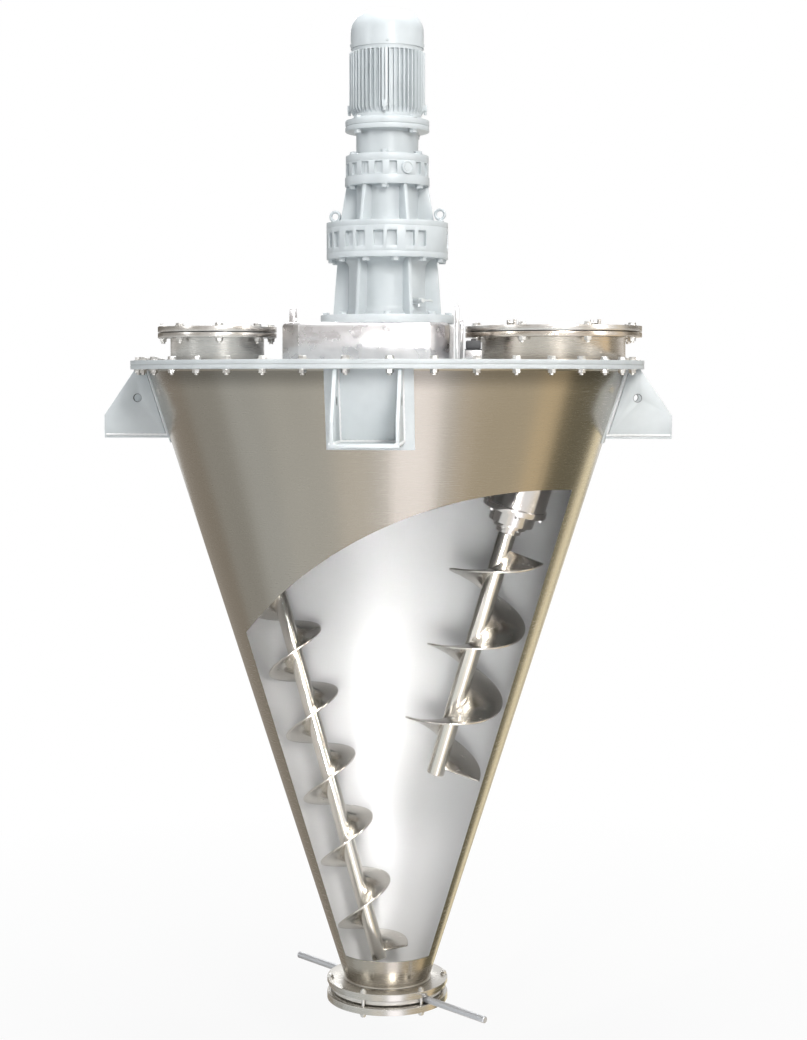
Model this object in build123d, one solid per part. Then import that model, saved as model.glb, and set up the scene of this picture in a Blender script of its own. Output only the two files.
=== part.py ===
from build123d import *
import math
import os

# Conical screw mixer, two cubic metre class. Millimetres, +Z up.
# The origin is on the vertical axis, in the plane that the four support feet rest on.
# The cutaway in the cone faces the -Y side, turned by cutaway_turn.

# Vessel cone
cone_top_radius = 871.0
cone_outlet_radius = 158.0
cone_height = 2273.0
cone_wall = 6.0
flange_level = 248.0

# Cutaway in the cone's front wall: depths below the flange, widths from the silhouette
cutaway_turn = 4.0
cutaway_left_depth = 931.0
cutaway_right_depth = 420.0
cutaway_crown_depth = 526.0
cutaway_crown_offset = -16.0
cutaway_left_margin = 78.0
cutaway_right_margin = 92.0
cutaway_foot_margin = 40.0
cutaway_foot_height = 111.0

# Vessel flange, gasket and lid
flange_overhang = 63.0
flange_radius = cone_top_radius + flange_overhang
flange_thickness = 14.0
gasket_thickness = 3.0
lid_thickness = 14.0
lid_bolt_inset = 29.0
lid_bolt_circle = flange_radius - lid_bolt_inset
lid_bolt_count = 40
bolt_across = 24.0
bolt_head_height = 10.0
nut_height = 13.0
lid_gasket_width = 24.0

# Support brackets
bracket_count = 4
bracket_overhang = 95.0
bracket_reach = flange_radius + bracket_overhang
bracket_shoulder_inset = 114.0
bracket_shoulder = bracket_reach - bracket_shoulder_inset
bracket_edge_height = 70.0
bracket_plate = 12.0
bracket_width = 220.0
bracket_pad_width = 290.0
bracket_pad_drop = 16.0
bracket_pad_thickness = 6.0
gusset_hole_radius = 14.0
gusset_hole_inset = 123.0
gusset_hole_reach = bracket_reach - gusset_hole_inset
gusset_hole_level = 145.0
foot_hole_inset = 94.0
foot_hole_circle = bracket_reach - foot_hole_inset
foot_hole_radius = 13.0

# Inlet nozzle and manway on the lid
nozzle_flange_rise = 84.0
nozzle_flange_thickness = 18.0
nozzle_cover_thickness = 20.0
nozzle_bolt_count = 8
nozzle_gasket_inset = 16.0
inlet_rim_distance = 243.0
inlet_offset = cone_top_radius - inlet_rim_distance
inlet_neck_radius = 172.0
inlet_wall = 5.0
inlet_flange_radius = 218.0
nozzle_bolt_inset = 20.0
inlet_bolt_turn = 11.0
inlet_bolt_circle = inlet_flange_radius - nozzle_bolt_inset
manway_rim_distance = 265.0
manway_offset = cone_top_radius - manway_rim_distance
manway_neck_radius = 261.0
manway_wall = 6.0
manway_flange_radius = 320.0
manway_bolt_turn = 22.5
manway_bolt_circle = manway_flange_radius - nozzle_bolt_inset
handle_spread = 152.0
handle_width = 96.0
handle_height = 46.0
handle_bar_radius = 6.0
handle_bend_radius = 15.0
handle_turn = 14.0

# Drive platform on the lid
platform_inlet_gap = 96.0
platform_left = inlet_offset - inlet_neck_radius - platform_inlet_gap
platform_right = 236.0
platform_half_depth = 280.0
platform_height = 135.0
platform_wall = 8.0
platform_top = 14.0
platform_chamfer = 66.0
platform_corner_round = 18.0

# Lifting lugs on the lid, round the drive platform
lug_width = 70.0
lug_hole_radius = 15.0
left_lug_thickness = 22.0
left_lug_height = 205.0
left_lug_gap = 24.0
left_lug_side = 310.0
right_lug_thickness = 12.0
right_lug_gap = 28.0
right_lug_side = 260.0
front_lug_height = 192.0
back_lug_height = 156.0

# Safety switch block beside the manway
interlock_length = 60.0
interlock_width = 50.0
interlock_height = 76.0
interlock_side = 245.0
interlock_gap = 38.0
interlock_chamfer = 4.0

# Output housing, the lower ribbed casting of the drive
base_flange_radius = 244.0
base_flange_thickness = 30.0
output_housing_height = 253.0
output_barrel_radius = 140.0
output_barrel_flare = 34.0
output_bore_radius = 112.0
output_rib_foot = 198.0
output_rib_head = 182.0
stage_flange_radius = 221.5
stage_flange_thickness = 20.0
rib_count = 6
rib_thickness = 14.0
rib_root = 4.0

# Second stage pin ring
stage_ring_height = 91.0
stage_pocket_pairs = 12
stage_pocket_angle = 9.0
stage_pocket_pitch = 12.6
stage_pocket_height = 55.0
stage_pocket_depth = 16.0
stage_bore_radius = 165.0
stage_pocket_start = -88.0
stage_plain_pair = 2

# Lifting eyes on the adapter's foot flange
eye_azimuth = -11.0
eye_inset = 24.0
eye_outer_radius = 23.0
eye_inner_radius = 12.0
eye_thickness = 11.0
eye_collar_radius = 15.0
eye_collar_height = 7.0

# Adapter housing, the upper ribbed casting
adapter_height = 183.0
adapter_barrel_radius = 112.0
adapter_foot_flare = 22.0
adapter_head_flare = 8.0
adapter_bore_radius = 92.0
adapter_rib_foot = 172.0
adapter_rib_head = 149.0
small_flange_radius = 154.0
small_flange_thickness = 31.0

# First stage pin ring
small_ring_radius = 151.0
small_ring_height = 52.0
small_pocket_count = 18
small_pocket_angle = 11.0
small_pocket_height = 44.0
small_pocket_depth = 12.0
small_bore_radius = 112.0
sight_boss_radius = 23.0
sight_boss_depth = 8.0
sight_azimuth = -58.0

# Input housing
input_flange_thickness = 26.0
input_neck_radius = 113.0
input_neck_height = 87.0
input_bore_radius = 88.0
input_top_flange = 18.0

# Motor
motor_flange_radius = 152.5
motor_flange_thickness = 21.0
motor_shield_radius = 121.0
motor_shield_height = 42.0
motor_frame_radius = 121.0
motor_fin_radius = 137.0
motor_frame_height = 201.0
motor_bore_radius = 100.0
motor_fin_count = 48
motor_fin_thickness = 4.0
motor_fin_taper = 26.0
motor_pad_width = 22.0
motor_neck_gap = 14.0
motor_pad_count = 4
motor_fin_root = 2.0
motor_fin_toe = 1.0
motor_bearing_radius = 33.0
cowl_radius = 132.5
cowl_height = 134.0
cowl_dome_radius = 74.0
cowl_wall = 3.0
cowl_lap = 30.0
cowl_slot_count = 12
cowl_slot_width = 5.0
cowl_slot_length = 30.0
cowl_slot_offset = 36.0
terminal_box_width = 130.0
terminal_box_height = 120.0
terminal_box_depth = 62.0
terminal_box_round = 8.0
terminal_box_rise = 46.0
rotor_radius = 66.0
rotor_shaft_radius = 19.0
rotor_end_gap = 20.0
rotor_tail = 6.0
coupling_depth = 20.0
fan_radius = 108.0
fan_blade_count = 7
fan_height = 44.0
fan_hub_radius = 34.0
fan_plate_thickness = 4.0
fan_gap = 4.0
fan_root = 4.0

# Bolt circles of the drive, as insets from the rims they sit inside
base_bolt_count = 8
base_bolt_inset = 20.0
base_bolt_turn = 4.0
stage_bolt_count = 12
stage_bolt_inset = 18.0
stage_bolt_turn = 12.0
small_bolt_count = 6
small_nut_inset = 16.0
small_head_inset = 17.0
small_bolt_turn = 30.0
motor_bolt_count = 4
motor_bolt_inset = 14.0
motor_bolt_turn = 45.0

# Discharge valve
valve_flange_radius = 226.0
valve_flange_thickness = 26.0
valve_gap = 27.0
valve_plate_radius = 204.0
valve_rim_thickness = 14.0
valve_hub_radius = 172.0
valve_running_gap = 0.5
valve_petal_count = 4
valve_petal_angle = 42.0
valve_petal_inner = 34.0
valve_petal_outer = 142.0
valve_seat_thickness = 12.0
valve_seat_overlap = 1.0
valve_stud_count = 6
valve_stud_circle = 213.0
valve_stud_radius = 6.0
valve_stud_clearance = 0.3
valve_stud_tail = 4.0
valve_stud_azimuth = -50.5
valve_nut_across = 19.0
valve_nut_height = 10.0
valve_handle_radius = 12.5
valve_handle_chamfer = 3.0
valve_handle_tip = 512.0
valve_handle_azimuth = -43.0
outlet_hole_circle = 200.0
outlet_hole_radius = 9.0
outlet_hole_count = 6

# Orbiting arm
arm_azimuth = -22.0
arm_level = 20.0
orbit_shaft_radius = 80.0
orbit_shaft_bore = 44.0
orbit_shaft_top = 700.0
orbit_bearing_inset = 6.0
centre_box_radius = 128.0
centre_box_wall = 10.0
centre_box_rise = 120.0
centre_box_drop = 110.0
arm_tube_radius = 72.0
arm_tube_wall = 7.0
arm_flange_radius = 96.0
arm_flange_thickness = 14.0
shaft_clearance = 0.06
seal_wall = 12.0
seal_reach = 24.0
seal_flange_radius = 120.0
seal_flange_thickness = 14.0

# Spin shaft and cross shafts
spin_shaft_radius = 26.0
cross_shaft_radius = 20.0
bevel_radius = 58.0
bevel_face = 26.0
bevel_gap = 1.5
bevel_back = 14.0
bevel_back_ratio = 0.8
end_bevel_radius = 46.0
end_bevel_face = 22.0
bearing_width = 22.0
spin_shaft_end_gap = 10.0
spin_bearing_inset = 10.0
inner_cross_bearing_gap = 30.0
outer_cross_bearing_gap = 40.0

# Long screw
long_flight_radius = 119.0
long_shaft_radius = 28.5
long_pitch = 245.0
long_phase = 332.0
long_wall_clearance = 14.0
long_head_radius = 96.0
long_flight_start = 432.0
long_screw_end = 2080.0

# Short screw
short_flight_radius = 164.0
short_shaft_radius = 32.5
short_pitch = 290.0
short_phase = 176.0
short_wall_clearance = 30.0
short_head_radius = 108.0
short_flight_start = 432.0
short_screw_end = 1314.0

# Screw heads, shared by both arms
screw_shaft_wall = 6.0
screw_plug = 14.0
end_shaft_radius = 24.0
flight_thickness = 6.0
flight_end_gap = 24.0
head_rise = 118.0
head_barrel_drop = 286.0
head_lip_height = 22.0
head_lip_over = 8.0
head_step_height = 46.0
head_step_inset = 26.0
gland_height = 38.0
gland_radius = 60.0
gland_running_gap = 0.5
gland_flange_thickness = 16.0
gland_flange_width = 14.0
gland_bolt_inset = 7.5
gland_bolt_across = 10.0
gland_bolt_height = 6.0
lip_bolt_inset = 4.0
lip_bolt_across = 16.0
lip_bolt_height = 9.0
head_bolt_count = 6
head_wall = 9.0
head_bore_radius = 40.0
upper_bearing_drop = 150.0
lower_bearing_drop = 240.0

# Drain cock on the output housing
cock_azimuth = -44.0
cock_level = 50.0
cock_body_radius = 11.0
cock_body_length = 34.0
cock_lever_length = 50.0
cock_lever_radius = 4.0
cock_hub_radius = 9.0
cock_hub_length = 12.0
cock_running_gap = 0.5
cock_collar = 6.0
cock_spout_radius = 6.5
cock_spout_length = 20.0
cock_spout_drop = 12.0
cock_spout_inset = 6.0

# How far a cutting body passes the faces that it cuts through
overshoot = 1.0

# Levels that follow from the sizes above
half_angle = math.degrees(math.atan2(cone_top_radius - cone_outlet_radius, cone_height))
mesh_angle = (90 - half_angle) / 2
cone_slope = (cone_top_radius - cone_outlet_radius) / cone_height
outlet_level = flange_level - cone_height
flange_top = flange_level + flange_thickness
lid_low = flange_top + gasket_thickness
lid_top = lid_low + lid_thickness
nozzle_flange_low = lid_top + nozzle_flange_rise
nozzle_flange_top = nozzle_flange_low + nozzle_flange_thickness
nozzle_cover_low = nozzle_flange_top + gasket_thickness
nozzle_cover_top = nozzle_cover_low + nozzle_cover_thickness
platform_level = lid_top + platform_height
output_top = platform_level + output_housing_height
stage_ring_top = output_top + stage_ring_height
adapter_top = stage_ring_top + adapter_height
small_ring_top = adapter_top + small_ring_height
input_flange_top = small_ring_top + input_flange_thickness
input_neck_top = input_flange_top + input_neck_height
input_top = input_neck_top + input_top_flange
motor_flange_top = input_top + motor_flange_thickness
motor_frame_low = motor_flange_top + motor_shield_height
motor_frame_top = motor_frame_low + motor_frame_height
cowl_low = motor_frame_top + motor_neck_gap
cowl_top = cowl_low + cowl_height
valve_gap_top = outlet_level - valve_flange_thickness
valve_gap_low = valve_gap_top - valve_gap
valve_low = valve_gap_low - valve_flange_thickness
valve_mid = valve_gap_top - valve_gap / 2
cone_bore = cone_outlet_radius - cone_wall


def radius_at(level):
    """Outside radius of the cone at a level."""
    return cone_top_radius - cone_slope * (flange_level - level)


def disc(radius, low, high):
    """Upright solid cylinder between two levels."""
    return Pos(0, 0, low) * Cylinder(radius, high - low, align=(Align.CENTER, Align.CENTER, Align.MIN))


def ring(outer, inner, low, high):
    """Upright ring between two levels."""
    return disc(outer, low, high) - disc(inner, low - overshoot, high + overshoot)


def hexagon(across, low, high):
    """Upright hexagonal prism, across its flats."""
    return extrude(Pos(0, 0, low) * RegularPolygon(across / math.sqrt(3), 6), high - low)


def turned(points):
    """Body of revolution about Z from a closed outline of (radius, level) points."""
    outline = Plane.XZ * make_face(Polyline(*points, close=True))
    return revolve(outline, Axis.Z)


def spread(shape, count, start=0.0):
    """Copies of a shape at even angles about Z."""
    return [Rot(0, 0, start + 360 * i / count) * shape for i in range(count)]


def solids_of(*shapes):
    """All solids of the given shapes and lists, in order."""
    found = []
    for shape in shapes:
        if isinstance(shape, (list, tuple)):
            found += solids_of(*shape)
        else:
            found += list(shape.solids())
    return found


def save(name, *shapes):
    """Write one sub-part to its STEP file."""
    solids = solids_of(*shapes)
    body = solids[0] if len(solids) == 1 else Compound(solids)
    export_step(body, "parts/" + name + ".step")


def frustum(offset, low, high):
    """Solid cone parallel to the vessel's outside, grown by an offset, between two levels."""
    points = [(0, low), (radius_at(low) + offset, low), (radius_at(high) + offset, high), (0, high)]
    return turned(points)


# Vessel

def vessel_cone():
    """Rolled cone with the cutaway in its front wall."""
    shell = turned([
        (cone_outlet_radius, outlet_level),
        (cone_top_radius, flange_level),
        (cone_top_radius - cone_wall, flange_level),
        (cone_outlet_radius - cone_wall, outlet_level),
    ])
    left = flange_level - cutaway_left_depth
    right = flange_level - cutaway_right_depth
    foot = outlet_level + cutaway_foot_height
    left_top = (-(radius_at(left) - cutaway_left_margin), left)
    right_top = (radius_at(right) - cutaway_right_margin, right)
    crown = (cutaway_crown_offset, flange_level - cutaway_crown_depth)
    left_foot = (-(radius_at(foot) - cutaway_foot_margin), foot)
    right_foot = (radius_at(foot) - cutaway_foot_margin, foot)
    outline = Curve() + [
        ThreePointArc(left_top, crown, right_top),
        Line(right_top, right_foot),
        Line(right_foot, left_foot),
        Line(left_foot, left_top),
    ]
    cutter = extrude(Plane.XZ * make_face(outline), cone_top_radius * 1.2)
    return shell - Rot(0, 0, cutaway_turn) * cutter


def bolt_heads(count, circle, level, start=0.0):
    """Hexagon heads standing on a level."""
    head = Pos(circle, 0, 0) * hexagon(bolt_across, level, level + bolt_head_height)
    return spread(head, count, start)


def bolt_nuts(count, circle, level, start=0.0):
    """Hexagon nuts hanging under a level."""
    nut = Pos(circle, 0, 0) * hexagon(bolt_across, level - nut_height, level)
    return spread(nut, count, start)


def vessel_flange():
    return ring(flange_radius, cone_top_radius - cone_wall, flange_level, flange_top)


def lid_gasket():
    inner = cone_top_radius - cone_wall
    return ring(inner + lid_gasket_width, inner, flange_top, lid_low)


def lid_plate():
    """Flat lid with its bores for the drive, the inlet and the manway."""
    plate = disc(flange_radius, lid_low, lid_top)
    low = lid_low - overshoot
    high = lid_top + overshoot
    plate -= disc(orbit_shaft_radius + seal_wall, low, high)
    plate -= Pos(-inlet_offset, 0, 0) * disc(inlet_neck_radius - inlet_wall, low, high)
    plate -= Pos(manway_offset, 0, 0) * disc(manway_neck_radius - manway_wall, low, high)
    return plate


# Support brackets

def bracket_gussets():
    """Two upright plates of one bracket, each with its lifting hole."""
    outline = make_face(Polyline(
        (0, bracket_plate),
        (bracket_reach, bracket_plate),
        (bracket_reach, bracket_plate + bracket_edge_height),
        (bracket_shoulder, flange_level),
        (0, flange_level),
        close=True,
    ))
    plate = extrude(Plane.XZ * outline, bracket_plate)
    hole = Rot(90, 0, 0) * Cylinder(gusset_hole_radius, bracket_width * 2)
    plate -= Pos(gusset_hole_reach, 0, gusset_hole_level) * hole
    far = Pos(0, bracket_width / 2, 0) * plate
    near = Pos(0, bracket_plate - bracket_width / 2, 0) * plate
    vessel = frustum(bracket_pad_thickness, -flange_level, flange_level * 2)
    return [far - vessel, near - vessel]


def bracket_foot():
    """Flat foot of one bracket with its bolt hole."""
    foot = Pos(bracket_reach / 2, 0, bracket_plate / 2) * Box(bracket_reach, bracket_width, bracket_plate)
    foot -= Pos(foot_hole_circle, 0, 0) * disc(foot_hole_radius, -overshoot, bracket_plate + overshoot)
    return foot - frustum(bracket_pad_thickness, -flange_level, flange_level * 2)


def bracket_pad():
    """Doubler plate rolled to the cone behind one bracket."""
    low = -bracket_pad_drop
    shell = frustum(bracket_pad_thickness, low, flange_level) - frustum(0, low - overshoot, flange_level + overshoot)
    block = Pos(bracket_reach, 0, 0) * Box(bracket_reach, bracket_pad_width, 3 * flange_level)
    return shell & block


# Nozzles on the lid

def nozzle(neck, wall, flange):
    """Welded neck with its flange."""
    body = ring(neck, neck - wall, lid_top, nozzle_flange_top)
    return body + ring(flange, neck - wall, nozzle_flange_low, nozzle_flange_top)


def nozzle_fasteners(circle, start):
    """Heads over the cover and nuts under the flange."""
    heads = bolt_heads(nozzle_bolt_count, circle, nozzle_cover_top, start)
    nuts = bolt_nuts(nozzle_bolt_count, circle, nozzle_flange_low, start)
    return heads + nuts


def nozzle_gasket(neck, circle):
    """Flat gasket between a nozzle flange and its cover, inside the bolts."""
    return ring(circle - nozzle_gasket_inset, neck, nozzle_flange_top, nozzle_cover_low)


def cover_handle():
    """Bent bar handle that stands on the manway cover."""
    half = handle_width / 2
    top = handle_height - handle_bar_radius
    path = FilletPolyline((0, -half, 0), (0, -half, top), (0, half, top), (0, half, 0),
                          radius=handle_bend_radius)
    bar = sweep(Plane((0, -half, 0), z_dir=(0, 0, 1)) * Circle(handle_bar_radius), path)
    return Pos(0, 0, nozzle_cover_top) * bar


# Drive platform

def platform_outline(inset):
    """Plan of the platform, with chamfered corners, shrunk by an inset."""
    left = -platform_left + inset
    right = platform_right - inset
    deep = platform_half_depth - inset
    cut = platform_chamfer - inset * (2 - math.sqrt(2))
    return make_face(Polyline(
        (left, -deep + cut), (left + cut, -deep), (right - cut, -deep), (right, -deep + cut),
        (right, deep - cut), (right - cut, deep), (left + cut, deep), (left, deep - cut),
        close=True,
    ))


def drive_platform():
    """Open-bottomed box of folded plate that carries the drive over the lid."""
    outer = Pos(0, 0, lid_top) * extrude(platform_outline(0), platform_height)
    corners = outer.edges().filter_by(Axis.X, reverse=True).filter_by(Axis.Z, reverse=True)
    top_edges = corners.group_by(Axis.Z)[-1]
    outer = fillet(top_edges, platform_corner_round)
    room = platform_height - platform_top + overshoot
    hollow = Pos(0, 0, lid_top - overshoot) * extrude(platform_outline(platform_wall), room)
    box = outer - hollow
    return box - disc(output_bore_radius, lid_top, platform_level + overshoot)


def lifting_lug(x, y, height, thickness):
    """Plate lug with a round head, standing on the lid."""
    straight = height - lug_width / 2
    face = Pos(0, straight / 2) * Rectangle(lug_width, straight)
    face += Pos(0, straight) * Circle(lug_width / 2)
    face -= Pos(0, straight) * Circle(lug_hole_radius)
    plate = extrude(Plane.YZ * face, thickness / 2, both=True)
    return Pos(x, y, lid_top) * plate


def lifting_lugs():
    """One lug behind the platform's left end and two beside its right end."""
    left = -platform_left - left_lug_gap
    right = platform_right + right_lug_gap
    return [
        lifting_lug(left, left_lug_side, left_lug_height, left_lug_thickness),
        lifting_lug(right, -right_lug_side, front_lug_height, right_lug_thickness),
        lifting_lug(right, right_lug_side, back_lug_height, right_lug_thickness),
    ]


def interlock_block():
    """Safety switch block that stands on the lid beside the manway cover."""
    block = Box(interlock_length, interlock_width, interlock_height, align=(Align.CENTER, Align.CENTER, Align.MIN))
    block = chamfer(block.edges().group_by(Axis.Z)[-1], interlock_chamfer)
    reach = platform_right + interlock_gap + interlock_length / 2
    return Rot(0, 0, cutaway_turn) * Pos(reach, -interlock_side, lid_top) * block


# Drive castings

def housing_ribs(foot_radius, head_radius, core_radius, low, high):
    """Six tapered webs between the two flanges of a casting."""
    outline = make_face(Polyline(
        (core_radius, low), (foot_radius, low), (head_radius, high), (core_radius, high), close=True))
    web = extrude(Plane.XZ * outline, rib_thickness / 2, both=True)
    return spread(web, rib_count)


def output_housing():
    """Lower ribbed casting with its base flange and the seat of the second stage."""
    low = platform_level + base_flange_thickness
    high = output_top - stage_flange_thickness
    flare = output_barrel_flare
    body = turned([
        (output_bore_radius, platform_level),
        (base_flange_radius, platform_level),
        (base_flange_radius, low),
        (output_barrel_radius + flare, low),
        (output_barrel_radius, low + flare),
        (output_barrel_radius, high - flare),
        (output_barrel_radius + flare, high),
        (stage_flange_radius, high),
        (stage_flange_radius, output_top),
        (output_bore_radius, output_top),
    ])
    core = output_barrel_radius - rib_root
    for web in housing_ribs(output_rib_foot, output_rib_head, core, low, high):
        body += web
    return body


def pocket_cutters(outer, depth, angle, low, high, azimuths):
    """Blind windows round a ring."""
    width = 2 * outer * math.sin(math.radians(angle / 2))
    block = Box(2 * depth, width, high - low)
    block = Pos(outer, 0, (low + high) / 2) * block
    return [Rot(0, 0, azimuth) * block for azimuth in azimuths]


def stage_ring():
    """Second stage pin ring with pairs of windows cast in its rim."""
    body = ring(stage_flange_radius, stage_bore_radius, output_top, stage_ring_top)
    middle = (output_top + stage_ring_top) / 2
    low = middle - stage_pocket_height / 2
    high = middle + stage_pocket_height / 2
    azimuths = []
    for pair in range(stage_pocket_pairs):
        centre = stage_pocket_start + 360 * pair / stage_pocket_pairs
        if pair == stage_plain_pair:
            continue
        azimuths += [centre - stage_pocket_pitch / 2, centre + stage_pocket_pitch / 2]
    for cutter in pocket_cutters(stage_flange_radius, stage_pocket_depth, stage_pocket_angle, low, high, azimuths):
        body -= cutter
    return body


def adapter_housing():
    """Upper ribbed casting between the two stages."""
    low = stage_ring_top + stage_flange_thickness
    high = adapter_top - small_flange_thickness
    body = turned([
        (adapter_bore_radius, stage_ring_top),
        (stage_flange_radius, stage_ring_top),
        (stage_flange_radius, low),
        (adapter_barrel_radius + adapter_foot_flare, low),
        (adapter_barrel_radius, low + adapter_foot_flare),
        (adapter_barrel_radius, high - adapter_head_flare),
        (adapter_barrel_radius + adapter_head_flare, high),
        (small_flange_radius, high),
        (small_flange_radius, adapter_top),
        (adapter_bore_radius, adapter_top),
    ])
    core = adapter_barrel_radius - rib_root
    for web in housing_ribs(adapter_rib_foot, adapter_rib_head, core, low, high):
        body += web
    return body


def small_ring():
    """First stage pin ring with single windows, one of them given up to the sight glass."""
    body = ring(small_ring_radius, small_bore_radius, adapter_top, small_ring_top)
    middle = (adapter_top + small_ring_top) / 2
    low = middle - small_pocket_height / 2
    high = middle + small_pocket_height / 2
    azimuths = [sight_azimuth + 360 * i / small_pocket_count for i in range(1, small_pocket_count)]
    for cutter in pocket_cutters(small_ring_radius, small_pocket_depth, small_pocket_angle, low, high, azimuths):
        body -= cutter
    return body


def sight_glass():
    """Round oil sight screwed to the first stage ring."""
    boss = Cylinder(sight_boss_radius, sight_boss_depth * 2)
    placed = Rot(0, 0, sight_azimuth) * Pos(small_ring_radius, 0, (adapter_top + small_ring_top) / 2)
    boss = placed * (Rot(0, 90, 0) * boss)
    return boss - disc(small_ring_radius, adapter_top, small_ring_top)


def input_housing():
    """Plain neck that holds the high speed coupling."""
    return turned([
        (input_bore_radius, small_ring_top),
        (small_ring_radius, small_ring_top),
        (small_ring_radius, input_flange_top),
        (input_neck_radius, input_flange_top),
        (input_neck_radius, input_neck_top),
        (motor_flange_radius, input_neck_top),
        (motor_flange_radius, input_top),
        (input_bore_radius, input_top),
    ])


# Motor

def motor_shield():
    """Drive end shield with the motor's flange."""
    return turned([
        (motor_bearing_radius, input_top),
        (motor_flange_radius, input_top),
        (motor_flange_radius, motor_flange_top),
        (motor_shield_radius, motor_flange_top),
        (motor_shield_radius, motor_frame_low),
        (motor_bore_radius, motor_frame_low),
        (motor_bore_radius, motor_flange_top),
        (motor_bearing_radius, motor_flange_top),
    ])


def motor_frame():
    """Finned frame tube with four tie-bolt pads."""
    top = cowl_low + cowl_lap
    body = ring(motor_frame_radius, motor_bore_radius, motor_frame_low, motor_frame_top)
    body += ring(cowl_radius - cowl_wall, motor_bore_radius, motor_frame_top, top)
    outline = make_face(Polyline(
        (motor_frame_radius - motor_fin_root, motor_frame_low),
        (motor_frame_radius + motor_fin_toe, motor_frame_low),
        (motor_fin_radius, motor_frame_low + motor_fin_taper),
        (motor_fin_radius, motor_frame_top),
        (motor_frame_radius - motor_fin_root, motor_frame_top),
        close=True,
    ))
    fin = extrude(Plane.XZ * outline, motor_fin_thickness / 2, both=True)
    fins = spread(fin, motor_fin_count)
    pad = extrude(Plane.XZ * outline, motor_pad_width / 2, both=True)
    pads = spread(pad, motor_pad_count)
    return body + fins + pads


def fan_cowl():
    """Pressed cowl with a rounded crown and slots over the fan."""
    outer = fillet(disc(cowl_radius, cowl_low, cowl_top).edges().group_by(Axis.Z)[-1], cowl_dome_radius)
    inner_disc = disc(cowl_radius - cowl_wall, cowl_low - overshoot, cowl_top - cowl_wall)
    inner = fillet(inner_disc.edges().group_by(Axis.Z)[-1], cowl_dome_radius - cowl_wall)
    cowl = outer - inner
    slot = Pos(cowl_slot_offset, 0, cowl_top) * Box(cowl_slot_length, cowl_slot_width, cowl_wall * 4)
    for cutter in spread(slot, cowl_slot_count):
        cowl -= cutter
    return cowl


def terminal_box():
    """Cable box on the back of the motor frame."""
    middle = motor_frame_low + terminal_box_rise + terminal_box_height / 2
    block = Box(terminal_box_width, terminal_box_depth, terminal_box_height)
    block = fillet(block.edges().filter_by(Axis.Y), terminal_box_round)
    return Pos(0, motor_fin_radius + terminal_box_depth / 2, middle) * block


def motor_rotor():
    """Rotor core on its shaft."""
    bottom = input_flange_top - coupling_depth
    top = cowl_low + cowl_lap + fan_height + rotor_tail
    shaft = disc(rotor_shaft_radius, bottom, top)
    return shaft + disc(rotor_radius, motor_frame_low + rotor_end_gap, motor_frame_top - rotor_end_gap)


def motor_fan():
    """Radial fan on the tail of the shaft."""
    low = cowl_low + cowl_lap + fan_gap
    hub = ring(fan_hub_radius, rotor_shaft_radius, low, low + fan_height)
    root = fan_hub_radius - fan_root
    plate = ring(fan_radius, root, low, low + fan_plate_thickness)
    blade = Box(fan_radius - root, fan_plate_thickness, fan_height)
    blade = Pos((fan_radius + root) / 2, 0, low + fan_height / 2) * blade
    return hub + plate + spread(blade, fan_blade_count)


def motor_bearings():
    """Ball bearing rings at both ends of the rotor."""
    inner = rotor_shaft_radius + shaft_clearance
    drive_end = ring(motor_bearing_radius, inner, input_top, motor_flange_top)
    tail_low = cowl_low + cowl_lap - bearing_width
    tail_end = ring(motor_bore_radius, inner, tail_low, cowl_low + cowl_lap)
    return [drive_end, tail_end]


# Discharge valve

def petals(low, high, turn):
    """Four sector openings as one cutting body."""
    half = math.radians(valve_petal_angle / 2)
    inner = valve_petal_inner
    outer = valve_petal_outer
    near = (inner * math.cos(half), inner * math.sin(half))
    far = (outer * math.cos(half), outer * math.sin(half))
    outline = Curve() + [
        Line((near[0], -near[1]), (far[0], -far[1])),
        ThreePointArc((far[0], -far[1]), (outer, 0), far),
        Line(far, near),
        ThreePointArc(near, (inner, 0), (near[0], -near[1])),
    ]
    petal = Pos(0, 0, low) * extrude(make_face(outline), high - low)
    return spread(petal, valve_petal_count, turn)


def valve_body():
    """Upper flange welded to the cone, with the fixed petal seat in its bore."""
    body = ring(valve_flange_radius, cone_bore, valve_gap_top, outlet_level)
    body += disc(cone_bore + valve_seat_overlap, valve_gap_top, valve_gap_top + valve_seat_thickness)
    for cutter in petals(valve_gap_top - overshoot, outlet_level, valve_handle_azimuth):
        body -= cutter
    for hole in stud_holes(valve_gap_top, outlet_level):
        body -= hole
    return body


def stud_holes(low, high):
    """Holes of the valve's studs through a flange between two levels."""
    hole = disc(valve_stud_radius + valve_stud_clearance, low - overshoot, high + overshoot)
    return spread(Pos(valve_stud_circle, 0, 0) * hole, valve_stud_count, valve_stud_azimuth)


def valve_lower_flange():
    """Lower flange with its bore and the holes for whatever hangs below."""
    body = ring(valve_flange_radius, cone_bore, valve_low, valve_gap_low)
    pipe_hole = disc(outlet_hole_radius, valve_low - overshoot, valve_gap_low + overshoot)
    pipe_hole = Pos(outlet_hole_circle, 0, 0) * pipe_hole
    half_step = 180 / valve_stud_count
    for hole in stud_holes(valve_low, valve_gap_low):
        body -= hole
    for hole in spread(pipe_hole, outlet_hole_count, valve_stud_azimuth + half_step):
        body -= hole
    return body


def valve_plate():
    """Turning plate with the same petals, half a step round from the seat."""
    hub = disc(valve_hub_radius, valve_gap_low + valve_running_gap, valve_gap_top - valve_running_gap)
    rim = disc(valve_plate_radius, valve_mid - valve_rim_thickness / 2, valve_mid + valve_rim_thickness / 2)
    body = hub + rim
    closed = valve_handle_azimuth + 180 / valve_petal_count
    for cutter in petals(valve_gap_low - overshoot, valve_gap_top + overshoot, closed):
        body -= cutter
    return body


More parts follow.
